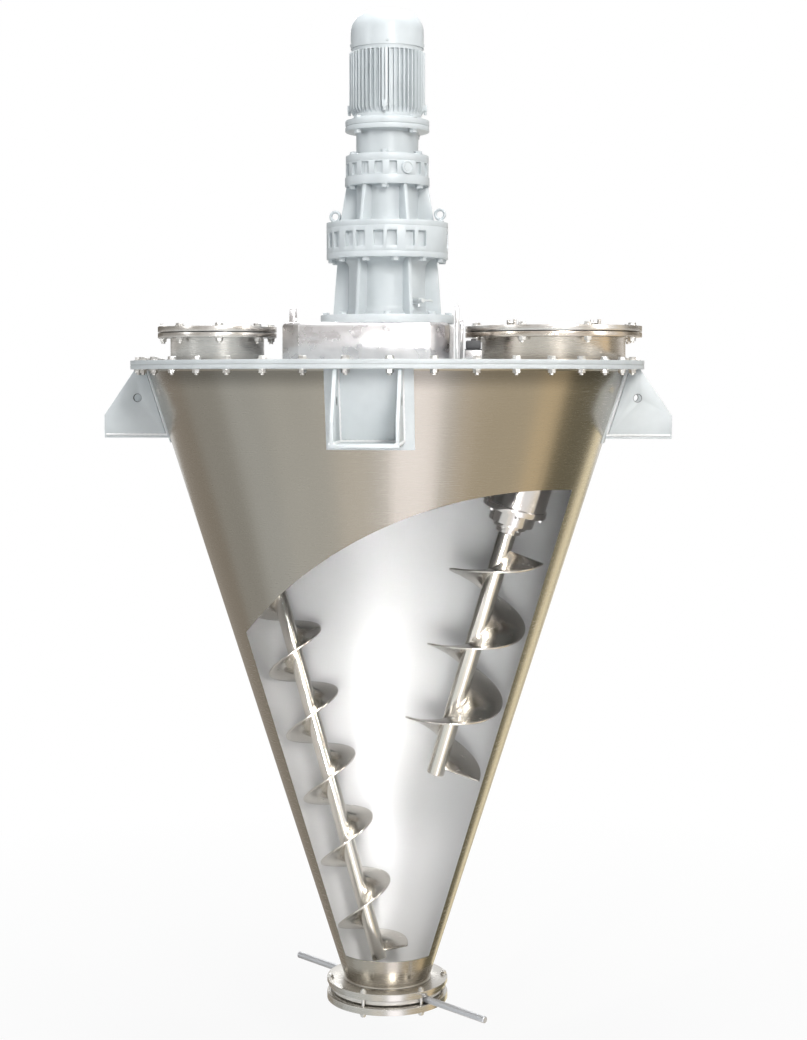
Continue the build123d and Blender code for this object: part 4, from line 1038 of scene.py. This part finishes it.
shim_low = block_low.z + 0.036
shim_high = block_low.z + 0.040
housing_top = block_high.z - 0.006
seat = switch_part("switch_seat_block", 0.030, 0.025, block_low.z, shim_low)
eased(seat, 0.003)
housing = switch_part("switch_housing", 0.026, 0.021, shim_high, housing_top)
eased(housing, 0.004, 3)
shim = switch_part("switch_shim", 0.029, 0.024, shim_low, shim_high)
plunger = turned("switch_plunger", [
    (0.009, housing_top), (0.009, block_high.z - 0.001), (0.007, block_high.z)],
    (switch_x, switch_y), 32)
switch_body = joined([housing, shim, plunger], "switch_black_body")
for piece, node, material in (
    (seat, "interlock_block", sheet_steel), (switch_body, None, switch_black),
):
    turned_flat(piece, angle_z=object_turn)
    fitted(piece, node, material)

# Drive castings
# Two ribbed grey iron housings with a windowed pin ring over each, and a plain neck for the
# coupling. They are sprayed pale grey green as one, with the motor.
drive_paint = paint("drive_grey_paint", (0.50, 0.535, 0.55), (0.57, 0.605, 0.62), 0.36)
rib_thickness = 0.014


def web(foot_radius, head_radius, core_radius, low, high):
    """Tapered web on +X: a block with its upper outer edge moved in."""
    piece = block("web", (core_radius, -rib_thickness / 2, low),
                  (foot_radius, rib_thickness / 2, high))
    outside = (core_radius + foot_radius) / 2
    middle = (low + high) / 2
    pick(piece, "VERT", lambda corner: corner.co.z > middle and corner.co.x > outside)
    bpy.ops.transform.translate(value=(head_radius - foot_radius, 0.0, 0.0))
    close_pick()
    return eased(piece, 0.003, 3)


def casting(piece, node, edge=0.002):
    """Finish one painted casting of the drive."""
    return fitted(piece, node, drive_paint, edge)


def quarter_arc(count, start=0.0, end=1.0):
    """Sines and cosines of evenly spaced angles over a quarter turn."""
    swings = [math.pi / 2 * (start + (end - start) * i / count) for i in range(count + 1)]
    return [(math.sin(swing), math.cos(swing)) for swing in swings]


def flared(radius, wide, low, high, wide_top):
    """Profile points of a barrel with a hollow curve into the flange at each end."""
    return [
        *((radius + wide * (1 - s), low + wide * (1 - c)) for s, c in quarter_arc(8)),
        *((radius + wide_top * (1 - c), high - wide_top * (1 - s)) for s, c in quarter_arc(8)),
    ]


def housing_casting(node, bore, foot, step, barrel, curves, seat, head, webs=None):
    """Housing with a flange at each end of its barrel, and six tapered webs if it has them."""
    low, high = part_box(node)
    body = turned(node + "_casting", [
        (bore, low.z), (foot, low.z), (foot, step),
        *flared(barrel, curves[0], step, seat, curves[1]),
        (head, seat), (head, high.z), (bore, high.z), (bore, low.z)], segments=120)
    if webs:
        rib = web(*webs, barrel - 0.004, step - 0.001, seat + 0.001)
        body = joined([body, *round_axis(rib, even(6, 0.0))], node + "_casting")
    casting(body, node)


def pin_ring(node, outer, inner, segments, window_sizes, angles, edge):
    """Ring of the gear's pins, with a row of round-cornered windows; gives its middle level."""
    low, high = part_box(node)
    middle = (low.z + high.z) / 2
    depth, angle, half = window_sizes
    half_width = outer * math.sin(math.radians(angle / 2))
    ring = turned(node + "_casting", hollow(outer, inner, low.z, high.z), segments=segments)
    opening = block("window", (outer - depth, -half_width, middle - half),
                    (outer + depth, half_width, middle + half))
    cut(ring, joined(round_axis(eased(opening, 0.004), angles), "windows"))
    casting(ring, node, edge)
    return middle


base_low, base_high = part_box("output_housing")
adapter_low, adapter_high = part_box("adapter_housing")
input_low, input_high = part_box("input_housing")
base_radius = base_high.x
stage_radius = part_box("stage_ring")[1].x
small_radius = 0.151
small_flange = 0.154
input_radius = 0.1525
barrel = 0.140
base_step = base_low.z + 0.030
seat_step = base_high.z - 0.020
adapter_step = adapter_low.z + 0.020
adapter_seat = adapter_high.z - 0.031
neck_foot = input_low.z + 0.026
neck_head = input_high.z - 0.018
sight_turn = -58.0

housing_casting("output_housing", 0.112, base_radius, base_step, barrel, (0.034, 0.034),
                seat_step, stage_radius, (0.198, 0.182))
pin_ring("stage_ring", stage_radius, 0.165, 180, (0.016, 9.0, 0.0275), [
    -88.0 + 30.0 * pair + side for pair in range(12) if pair != 2 for side in (-6.3, 6.3)], 0.0015)
housing_casting("adapter_housing", 0.092, stage_radius, adapter_step, 0.112, (0.022, 0.008),
                adapter_seat, small_flange, (0.172, 0.149))
small_mid = pin_ring("small_ring", small_radius, 0.112, 160, (0.012, 11.0, 0.022), [
    sight_turn + 20.0 * i for i in range(1, 18)], 0.0012)
housing_casting("input_housing", 0.088, small_radius, neck_foot, 0.113, (0.010, 0.010),
                neck_head, input_radius)

drive_heads = joined([
    set_round("heads", hexagon(bolt_across, foot, foot + 0.010), circle, even(count, start))
    for foot, circle, count, start in (
        (base_step, base_radius - 0.020, 8, 4.0),
        (neck_foot, small_radius - 0.017, 6, 30.0),
        (input_high.z + 0.021, input_radius - 0.014, 4, 45.0))], "drive_bolt_heads")
fitted(drive_heads, "drive_bolts", drive_paint, 0.0)
drive_nuts = joined([
    set_round("nuts", hexagon(bolt_across, top - 0.013, top, up=False), circle, even(count, start))
    for top, circle, count, start in (
        (neck_head, input_radius - 0.014, 4, 45.0),
        (seat_step, stage_radius - 0.018, 12, 12.0),
        (adapter_seat, small_flange - 0.016, 6, 30.0))], "drive_nut_set")
fitted(drive_nuts, "drive_nuts", drive_paint, 0.0)

eye_low, eye_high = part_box("lifting_eyes")
eye_foot = eye_low.z
eye_centre = eye_high.z - 0.023
bpy.ops.object.select_all(action="DESELECT")
bpy.ops.mesh.primitive_torus_add(
    major_segments=48, minor_segments=20, major_radius=0.0172, minor_radius=0.0056,
    location=(0.0, 0.0, eye_centre), rotation=(math.pi / 2, 0.0, 0.0))
eye = bpy.context.object
settle()
eye_collar = turned("eye_collar", [
    (0.015, eye_foot), (0.015, eye_foot + 0.005), (0.009, eye_foot + 0.008),
    (0.008, eye_centre - 0.015)], segments=32)
eye = joined([eye, eye_collar], "eye")
turned_flat(eye, place=(stage_radius - 0.024, 0.0, 0.0))
casting(joined(round_axis(eye, even(2, -11.0)), "lifting_eye_bolts"), "lifting_eyes", 0.0)

sight = turned("oil_sight_boss", [
    (0.023, -0.004), (0.023, 0.006), (0.0215, 0.008), (0.0175, 0.008), (0.0165, 0.0065),
    (0.0150, 0.0065), (0.0142, 0.0075), (0.0060, 0.0082)], segments=56)
turned_flat(sight, angle_y=math.pi / 2, place=(small_radius, 0.0, small_mid))
turned_flat(sight, angle_z=math.radians(sight_turn))
fitted(sight, "oil_sight", drive_paint, 0.0)

cock_steel = steel(
    "cock_nickel", (0.62, 0.64, 0.65), (0.72, 0.74, 0.75), 0.34, (6.0, 6.0, 6.0), 0.6)
cock_level = platform_high.z + 0.080
cock_turn = math.radians(-44.0)
lever_x = 0.0405


def on_barrel(pieces, name):
    """Join pieces of the cock that are made along +X, and put them on the housing's barrel."""
    piece = joined(pieces, name)
    turned_flat(piece, place=(barrel, 0.0, cock_level))
    return turned_flat(piece, angle_z=cock_turn)


plug = turned("plug", [
    (0.0085, -0.006), (0.0085, 0.006), (0.011, 0.006), (0.011, 0.018), (0.009, 0.021),
    (0.009, 0.028), (0.011, 0.031), (0.011, 0.040)], segments=40)
turned_flat(plug, angle_y=math.pi / 2)
spout = turned("spout", [(0.0065, -0.022), (0.0065, -0.004), (0.0050, 0.0)], (0.028, 0.0), 32)
cock = on_barrel([plug, spout], "drain_cock_plug")
fitted(cock, "drain_cock", cock_steel, 0.0005)
hub = turned("hub", [
    (0.009, lever_x), (0.009, lever_x + 0.010), (0.0075, lever_x + 0.012)], segments=36)
turned_flat(hub, angle_y=math.pi / 2)
rod = turned("rod", [
    (0.004, 0.0), (0.004, 0.030), (0.0045, 0.044), (0.0038, 0.050)], segments=24)
turned_flat(rod, angle_x=-math.pi / 2, place=(lever_x + 0.006, 0.0, 0.0))
lever = on_barrel([hub, rod], "drain_cock_handle")
fitted(lever, "drain_cock_lever", cock_steel, 0.0, "drain_lever")

# Motor
# A totally enclosed flange motor: cast end shield, finned frame, and a pressed cowl over the fan.
# It has the drive's paint.
shield_low, shield_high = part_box("motor_shield")
shield_foot = shield_low.z
shield_step = shield_foot + 0.021
shaft_bore = 0.033
motor_radius = 0.121
motor_bore = 0.100
shield = turned("motor_end_shield", [
    (shaft_bore, shield_foot), (input_radius, shield_foot), (input_radius, shield_step),
    (0.124, shield_foot + 0.030), (motor_radius, shield_high.z), (motor_bore, shield_high.z),
    (motor_bore, shield_step), (shaft_bore, shield_step), (shaft_bore, shield_foot)],
    segments=120)
casting(shield, "motor_shield")

frame_low, frame_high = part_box("motor_frame")
cowl_low, cowl_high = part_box("fan_cowl")
tube_foot = frame_low.z
fin_foot = tube_foot - 0.026
fin_top = cowl_low.z - 0.014
fin_reach = 0.137
fin_root = 0.119
collar_radius = 0.1295
tube = turned("motor_tube", [
    (motor_radius, tube_foot), (motor_radius, fin_top), (collar_radius, fin_top),
    (collar_radius, frame_high.z), (motor_bore, frame_high.z), (motor_bore, tube_foot),
    (motor_radius, tube_foot)], segments=120)


def fin(thickness):
    """Fin on +X with its lower outer corner cut back."""
    piece = block("fin", (fin_root, -thickness / 2, fin_foot), (fin_reach, thickness / 2, fin_top))
    edit(piece)
    trim((fin_reach, 0.0, fin_foot + 0.024), (0.024, 0.0, -0.016))
    close_edit()
    return eased(piece, 0.0008)


fins = round_axis(fin(0.004), even(48, 0.0))
bars = round_axis(fin(0.022), even(4, 0.0))
tie_pad = block("tie_pad", (0.134, -0.009, tube_foot - 0.008), (0.1445, 0.009, tube_foot + 0.016))
eased(tie_pad, 0.002)
tie_screw = turned(
    "tie_screw", [(0.0055, tube_foot - 0.020), (0.0055, tube_foot + 0.002)], (0.1385, 0.0), 24)
tie_pads = round_axis(joined([tie_pad, tie_screw], "tie_pad"), even(4, 0.0))
casting(joined([tube, *fins, *bars, *tie_pads], "motor_finned_frame"), "motor_frame", 0.0)

dome = 0.074
cowl_sheet = 0.003
cowl_radius = cowl_high.x
cowl_top = cowl_high.z
skirt = cowl_top - dome
inner_radius = cowl_radius - cowl_sheet
inner_dome = dome - cowl_sheet
crown_radius = 0.0012
cowl = turned("fan_cowl_pressing", [
    (inner_radius, cowl_low.z), (cowl_radius, cowl_low.z),
    *((cowl_radius - dome * (1 - c), skirt + dome * s) for s, c in quarter_arc(12)),
    (crown_radius, cowl_top), (crown_radius, cowl_top - cowl_sheet),
    *((inner_radius - inner_dome * (1 - c), skirt + inner_dome * s)
      for s, c in quarter_arc(12, 1.0, 0.0)),
    (inner_radius, cowl_low.z)], segments=120)
slot = block("slot", (0.021, -0.0025, cowl_top - 0.006), (0.051, 0.0025, cowl_top + 0.006))
cut(cowl, joined(round_axis(slot, even(12, 0.0)), "slots"))
cowl_screw = turned("cowl_screw", [
    (0.0055, -0.001), (0.0055, 0.0012), (0.0040, 0.0022)], segments=20)
turned_flat(cowl_screw, angle_y=math.pi / 2, place=(cowl_radius, 0.0, cowl_low.z + 0.014))
cowl = joined([cowl, *round_axis(cowl_screw, even(4, 4.0))], "fan_cowl_pressing")
casting(cowl, "fan_cowl", 0.0)

box_low, box_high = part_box("terminal_box")
box_seam = box_high.y - 0.016
box_face = box_high.y - 0.002
seal_inset = 0.004
screw_inset = 0.014
shell = block("box_shell", box_low, (box_high.x, box_seam - 0.001, box_high.z))
eased(shell, 0.006, 4)
seal = block("box_seal", (box_low.x + seal_inset, box_seam - 0.004, box_low.z + seal_inset),
             (box_high.x - seal_inset, box_seam + 0.003, box_high.z - seal_inset))
cap = block("box_cap", (box_low.x, box_seam + 0.001, box_low.z),
            (box_high.x, box_face, box_high.z))
eased(cap, 0.006, 4)
screws = []
for x in (box_low.x + screw_inset, box_high.x - screw_inset):
    for z in (box_low.z + screw_inset, box_high.z - screw_inset):
        screw = turned("box_screw", [
            (0.005, -0.001), (0.005, 0.0015), (0.004, 0.002)], segments=20)
        screws.append(turned_flat(screw, angle_x=-math.pi / 2, place=(x, box_face, z)))
casting(joined([shell, seal, cap, *screws], "motor_cable_box"), "terminal_box", 0.0)

# Discharge valve
# Two flanges of turned steel held apart by studs, with a petal plate that turns between them.
# Two round bars screwed into the plate's rim are its handles.
valve_steel = steel(
    "valve_turned_steel", (0.50, 0.48, 0.445), (0.60, 0.58, 0.54), 0.24, level_grain, 1.0, 0.012)
# The turning plate's steel is paler and less metallic than the flanges' steel: painted light on
# its rim, which sits in shade between them.
plate_painted_light_steel = steel(
    "plate_turned_steel_painted_light", (0.74, 0.72, 0.68), (0.82, 0.80, 0.76), 0.36, level_grain, 0.45, 0.012)
bar_zinc = steel(
    "handle_zinc_steel", (0.50, 0.51, 0.53), (0.58, 0.59, 0.61), 0.42, (9.0, 9.0, 9.0), 0.6, 0.03)
body_low, body_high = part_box("valve_body")
lower_low, lower_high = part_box("valve_lower_flange")
plate_low, plate_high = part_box("valve_plate")
valve_radius = body_high.x
valve_bore = 0.152
hub_bore = 0.010
handle_azimuth = -43.0
lower = turned("valve_lower_ring", hollow(
    valve_radius, valve_bore, lower_low.z, lower_high.z), segments=128)
fitted(lower, "valve_lower_flange", valve_steel, 0.002)


def petals(low, high, turn):
    """Four sector blocks, each from a turned ring trimmed at its sides."""
    sector = turned("petal", hollow(0.142, 0.034, low, high), segments=96)
    half = math.radians(21.0)
    edit(sector)
    trim((0.0, 0.0, 0.0), (-math.sin(half), math.cos(half), 0.0))
    trim((0.0, 0.0, 0.0), (-math.sin(half), -math.cos(half), 0.0))
    close_edit()
    return joined(round_axis(sector, even(4, turn)), "petals")


seat_top = body_low.z + 0.012
ring_step = body_low.z + 0.013
lip_radius = 0.2205
upper = turned("valve_upper_ring", [
    (lip_radius, body_low.z), (lip_radius, ring_step), (valve_radius, ring_step),
    (valve_radius, body_high.z), (valve_bore, body_high.z), (valve_bore, seat_top),
    (hub_bore, seat_top), (hub_bore, body_low.z), (lip_radius, body_low.z)], segments=128)
cut(upper, petals(body_low.z - 0.01, body_high.z + 0.01, handle_azimuth))
fitted(upper, "valve_body", valve_steel, 0.002)

plate_middle = (plate_low.z + plate_high.z) / 2
rim_low = plate_middle - 0.007
rim_high = rim_low + 0.014
plate_radius = 0.172
rim_radius = 0.204
plate = turned("valve_turning_plate", [
    (hub_bore, plate_low.z), (plate_radius, plate_low.z), (plate_radius, rim_low),
    (rim_radius, rim_low), (rim_radius, rim_high), (plate_radius, rim_high),
    (plate_radius, plate_high.z), (hub_bore, plate_high.z), (hub_bore, plate_low.z)],
    segments=128)
cut(plate, petals(plate_low.z - 0.01, plate_high.z + 0.01, handle_azimuth + 45.0))
fitted(plate, "valve_plate", plate_painted_light_steel, 0.001, "valve_rotor")

handle_tip = 0.512
bar = turned("valve_handle", [
    (0.0125, 0.2015), (0.0125, handle_tip - 0.003), (0.0095, handle_tip)], segments=32)
turned_flat(bar, angle_y=math.pi / 2, place=(0.0, 0.0, plate_middle))
bars = joined(round_axis(bar, even(2, handle_azimuth)), "valve_handle_bars")
fitted(bars, "valve_handles", bar_zinc, 0.0, "valve_rotor")

stud_low, stud_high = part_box("valve_studs")
stud_nut = 0.019
stud = turned("stud", [(0.006, stud_low.z), (0.006, stud_high.z)], segments=20)
top_nut = hexagon(stud_nut, body_high.z, body_high.z + 0.010)
low_nut = hexagon(stud_nut, lower_low.z - 0.010, lower_low.z, up=False)
studs = set_round(
    "valve_stud_set", joined([stud, top_nut, low_nut], "stud"), 0.213, even(6, -50.5))
fitted(studs, "valve_studs", bolt_steel, 0.0)

# Mixing screws
# Each screw is a ribbon of 6 mm steel welded round a tube, right-handed, and worn bright by the
# powder. It hangs from the closed gear head at an end of the arm, parallel to the cone's wall.
flight_steel = steel(
    "flight_worn_steel", (0.58, 0.55, 0.51), (0.76, 0.73, 0.68), 0.22, (2.5, 2.5, 2.5), 1.0, 0.06)
tube_steel = steel(
    "tube_drawn_steel", (0.70, 0.67, 0.61), (0.80, 0.77, 0.71), 0.19, (9.0, 9.0, 0.5), 1.0, 0.03)
head_steel = steel(
    "head_polished_steel", (0.64, 0.61, 0.585), (0.74, 0.71, 0.685), 0.17, (2.0, 2.0, 2.0),
    1.0, 0.02)
flight_sheet = 0.006
arm_azimuth = math.radians(-22.0)
arm_level = 0.020
wall_along = steel_wall / math.cos(half_angle)


def on_screw(piece, reach, side):
    """Put a piece made along Z, its origin at the arm's level, on a screw's axis."""
    turned_flat(piece, angle_y=half_angle, place=(reach, 0.0, arm_level))
    return turned_flat(piece, angle_z=arm_azimuth + side)


def ribbon(name, inner, outer, pitch, high, low):
    """Helical blade: one straight edge wound down its axis by a screw modifier, then thickened."""
    bpy.ops.object.select_all(action="DESELECT")
    bpy.ops.mesh.primitive_plane_add(size=1.0, location=((inner + outer) / 2, 0.0, low))
    piece = bpy.context.object
    piece.name = name
    piece.scale = (outer - inner, 1.0, 1.0)
    settle()
    edit(piece)
    bpy.ops.transform.resize(value=(1.0, 0.0, 1.0), center_override=(0.0, 0.0, 0.0))
    bpy.ops.mesh.remove_doubles(threshold=1e-6)
    bpy.ops.mesh.select_mode(type="EDGE")
    bpy.ops.mesh.subdivide(number_cuts=3)
    close_pick()
    turns = (high - low) / pitch
    wind = piece.modifiers.new("wind", "SCREW")
    wind.axis = "Z"
    wind.angle = 2 * math.pi * turns
    wind.screw_offset = high - low
    wind.iterations = 1
    wind.steps = int(48 * turns)
    wind.render_steps = wind.steps
    wind.use_merge_vertices = False
    bpy.ops.object.modifier_apply(modifier="wind")
    thick = piece.modifiers.new("thick", "SOLIDIFY")
    thick.thickness = flight_sheet
    thick.offset = 0.0
    bpy.ops.object.modifier_apply(modifier="thick")
    return piece


# Drops are measured down a screw's axis from the arm's level.
head_rise = 0.118
barrel_drop = 0.286
step_drop = barrel_drop + 0.046
gland_drop = step_drop + 0.038
flight_drop = 0.432
head_wall = 0.009
cap_bore = 0.050
spigot_bore = 0.040
gland_bore = 0.0245
arm_start = 0.142
arm_flange_end = arm_start + 0.014
arm_bore = 0.065
gland_sets = []
bolt_sets = []
for title, side, flight_radius, clearance, shaft, pitch, phase, end, head_radius in (
    ("short", 0.0, 0.164, 0.030, 0.0325, 0.290, 176.0, 1.314, 0.108),
    ("long", math.pi, 0.119, 0.014, 0.0285, 0.245, 332.0, 2.080, 0.096),
):
    reach = (cone_radius(arm_level) - wall_along
             - (flight_radius + clearance) / math.cos(half_angle))
    low_end = -end + 0.024
    blade = ribbon(
        title + "_screw_ribbon", shaft - 0.001, flight_radius, pitch, -flight_drop, low_end)
    turned_flat(blade, angle_z=math.radians(phase + 360.0 * low_end / pitch))
    on_screw(blade, reach, side)
    fitted(blade, title + "_screw_flight", flight_steel, 0.001, title + "_screw")

    tube = turned(title + "_screw_tube", [
        (0.024, -0.040), (0.024, -gland_drop - 0.0005), (shaft, -gland_drop - 0.0005),
        (shaft, -end)], segments=64)
    on_screw(tube, reach, side)
    fitted(tube, title + "_screw_shaft", tube_steel, 0.0015, title + "_screw")

    spigot = head_radius - 0.026
    lip = head_radius + 0.008
    inside = head_radius - head_wall
    head = turned(title + "_head_housing", [
        (spigot_bore, -step_drop), (spigot, -step_drop), (spigot, -barrel_drop),
        (lip, -barrel_drop), (lip, -barrel_drop + 0.022), (head_radius, -barrel_drop + 0.022),
        (head_radius, head_rise), (cap_bore, head_rise), (cap_bore, head_rise - head_wall),
        (inside, head_rise - head_wall), (inside, -barrel_drop + 0.018),
        (spigot_bore, -barrel_drop + 0.018), (spigot_bore, -step_drop)], segments=96)
    on_screw(head, reach, side)
    fitted(head, title + "_screw_head", head_steel, 0.0015, "swing_arm")

    gland = turned(title + "_gland", [
        (gland_bore, -step_drop), (0.060, -step_drop), (0.060, -step_drop - 0.016),
        (0.048, -step_drop - 0.016), (0.046, -step_drop - 0.018), (0.046, -gland_drop + 0.003),
        (0.043, -gland_drop), (gland_bore, -gland_drop), (gland_bore, -step_drop)], segments=72)
    gland_sets.append(on_screw(gland, reach, side))
    gland_heads = set_round(
        "gland_heads", hexagon(0.010, -step_drop - 0.022, -step_drop - 0.016, up=False),
        0.0525, even(6, 30.0))
    lip_heads = set_round(
        "lip_heads", hexagon(0.016, -barrel_drop - 0.009, -barrel_drop, up=False),
        head_radius - 0.004, even(6, 0.0))
    bolt_sets.append(on_screw(joined([gland_heads, lip_heads], "head_bolts"), reach, side))

    arm_end = reach - head_radius * 0.86
    arm = turned(title + "_arm_pipe", [
        (arm_bore, arm_start), (0.096, arm_start), (0.096, arm_flange_end),
        (0.074, arm_flange_end), (0.072, arm_flange_end + 0.004), (0.072, arm_end),
        (arm_bore, arm_end), (arm_bore, arm_start)], segments=72)
    turned_flat(arm, angle_y=math.pi / 2, place=(0.0, 0.0, arm_level))
    turned_flat(arm, angle_z=arm_azimuth + side)
    fitted(arm, title + "_arm_tube", head_steel, 0.001, "swing_arm")
gland_rings = joined(gland_sets, "screw_gland_rings")
fitted(gland_rings, "screw_glands", head_steel, 0.001, "swing_arm")
head_bolts = joined(bolt_sets, "head_bolt_set")
fitted(head_bolts, "gland_bolts", bolt_steel, 0.0, "swing_arm")

# Works inside
# The pieces that only show when the mixer is opened keep their CAD shape: the gear centre of
# the arm, its shafts and bearings, the packing in the lid, and the motor's rotor and fan.
gear_steel = steel(
    "gear_oiled_steel", (0.30, 0.29, 0.27), (0.42, 0.40, 0.37), 0.30, (8.0, 8.0, 8.0), 1.0, 0.06)
core_steel = steel(
    "rotor_sheet_steel", (0.16, 0.15, 0.145), (0.26, 0.25, 0.24), 0.42, (2.0, 2.0, 60.0),
    0.9, 0.10)
race_steel = steel(
    "bearing_ground_steel", (0.56, 0.55, 0.53), (0.70, 0.69, 0.67), 0.20, (2.0, 2.0, 40.0),
    1.0, 0.02)
fan_plastic = paint("fan_black_plastic", (0.03, 0.03, 0.032), (0.05, 0.05, 0.053), 0.5)
for material, nodes in (
    (head_steel, ("centre_box", "lid_seal")),
    (tube_steel, ("orbit_shaft",)),
    (gear_steel, ("spin_shaft", "short_cross_shaft", "long_cross_shaft")),
    (race_steel, ("arm_bearings", "orbit_bearings", "motor_bearings")),
    (core_steel, ("motor_rotor",)),
    (fan_plastic, ("motor_fan",)),
):
    for node in nodes:
        refinished(node, material)
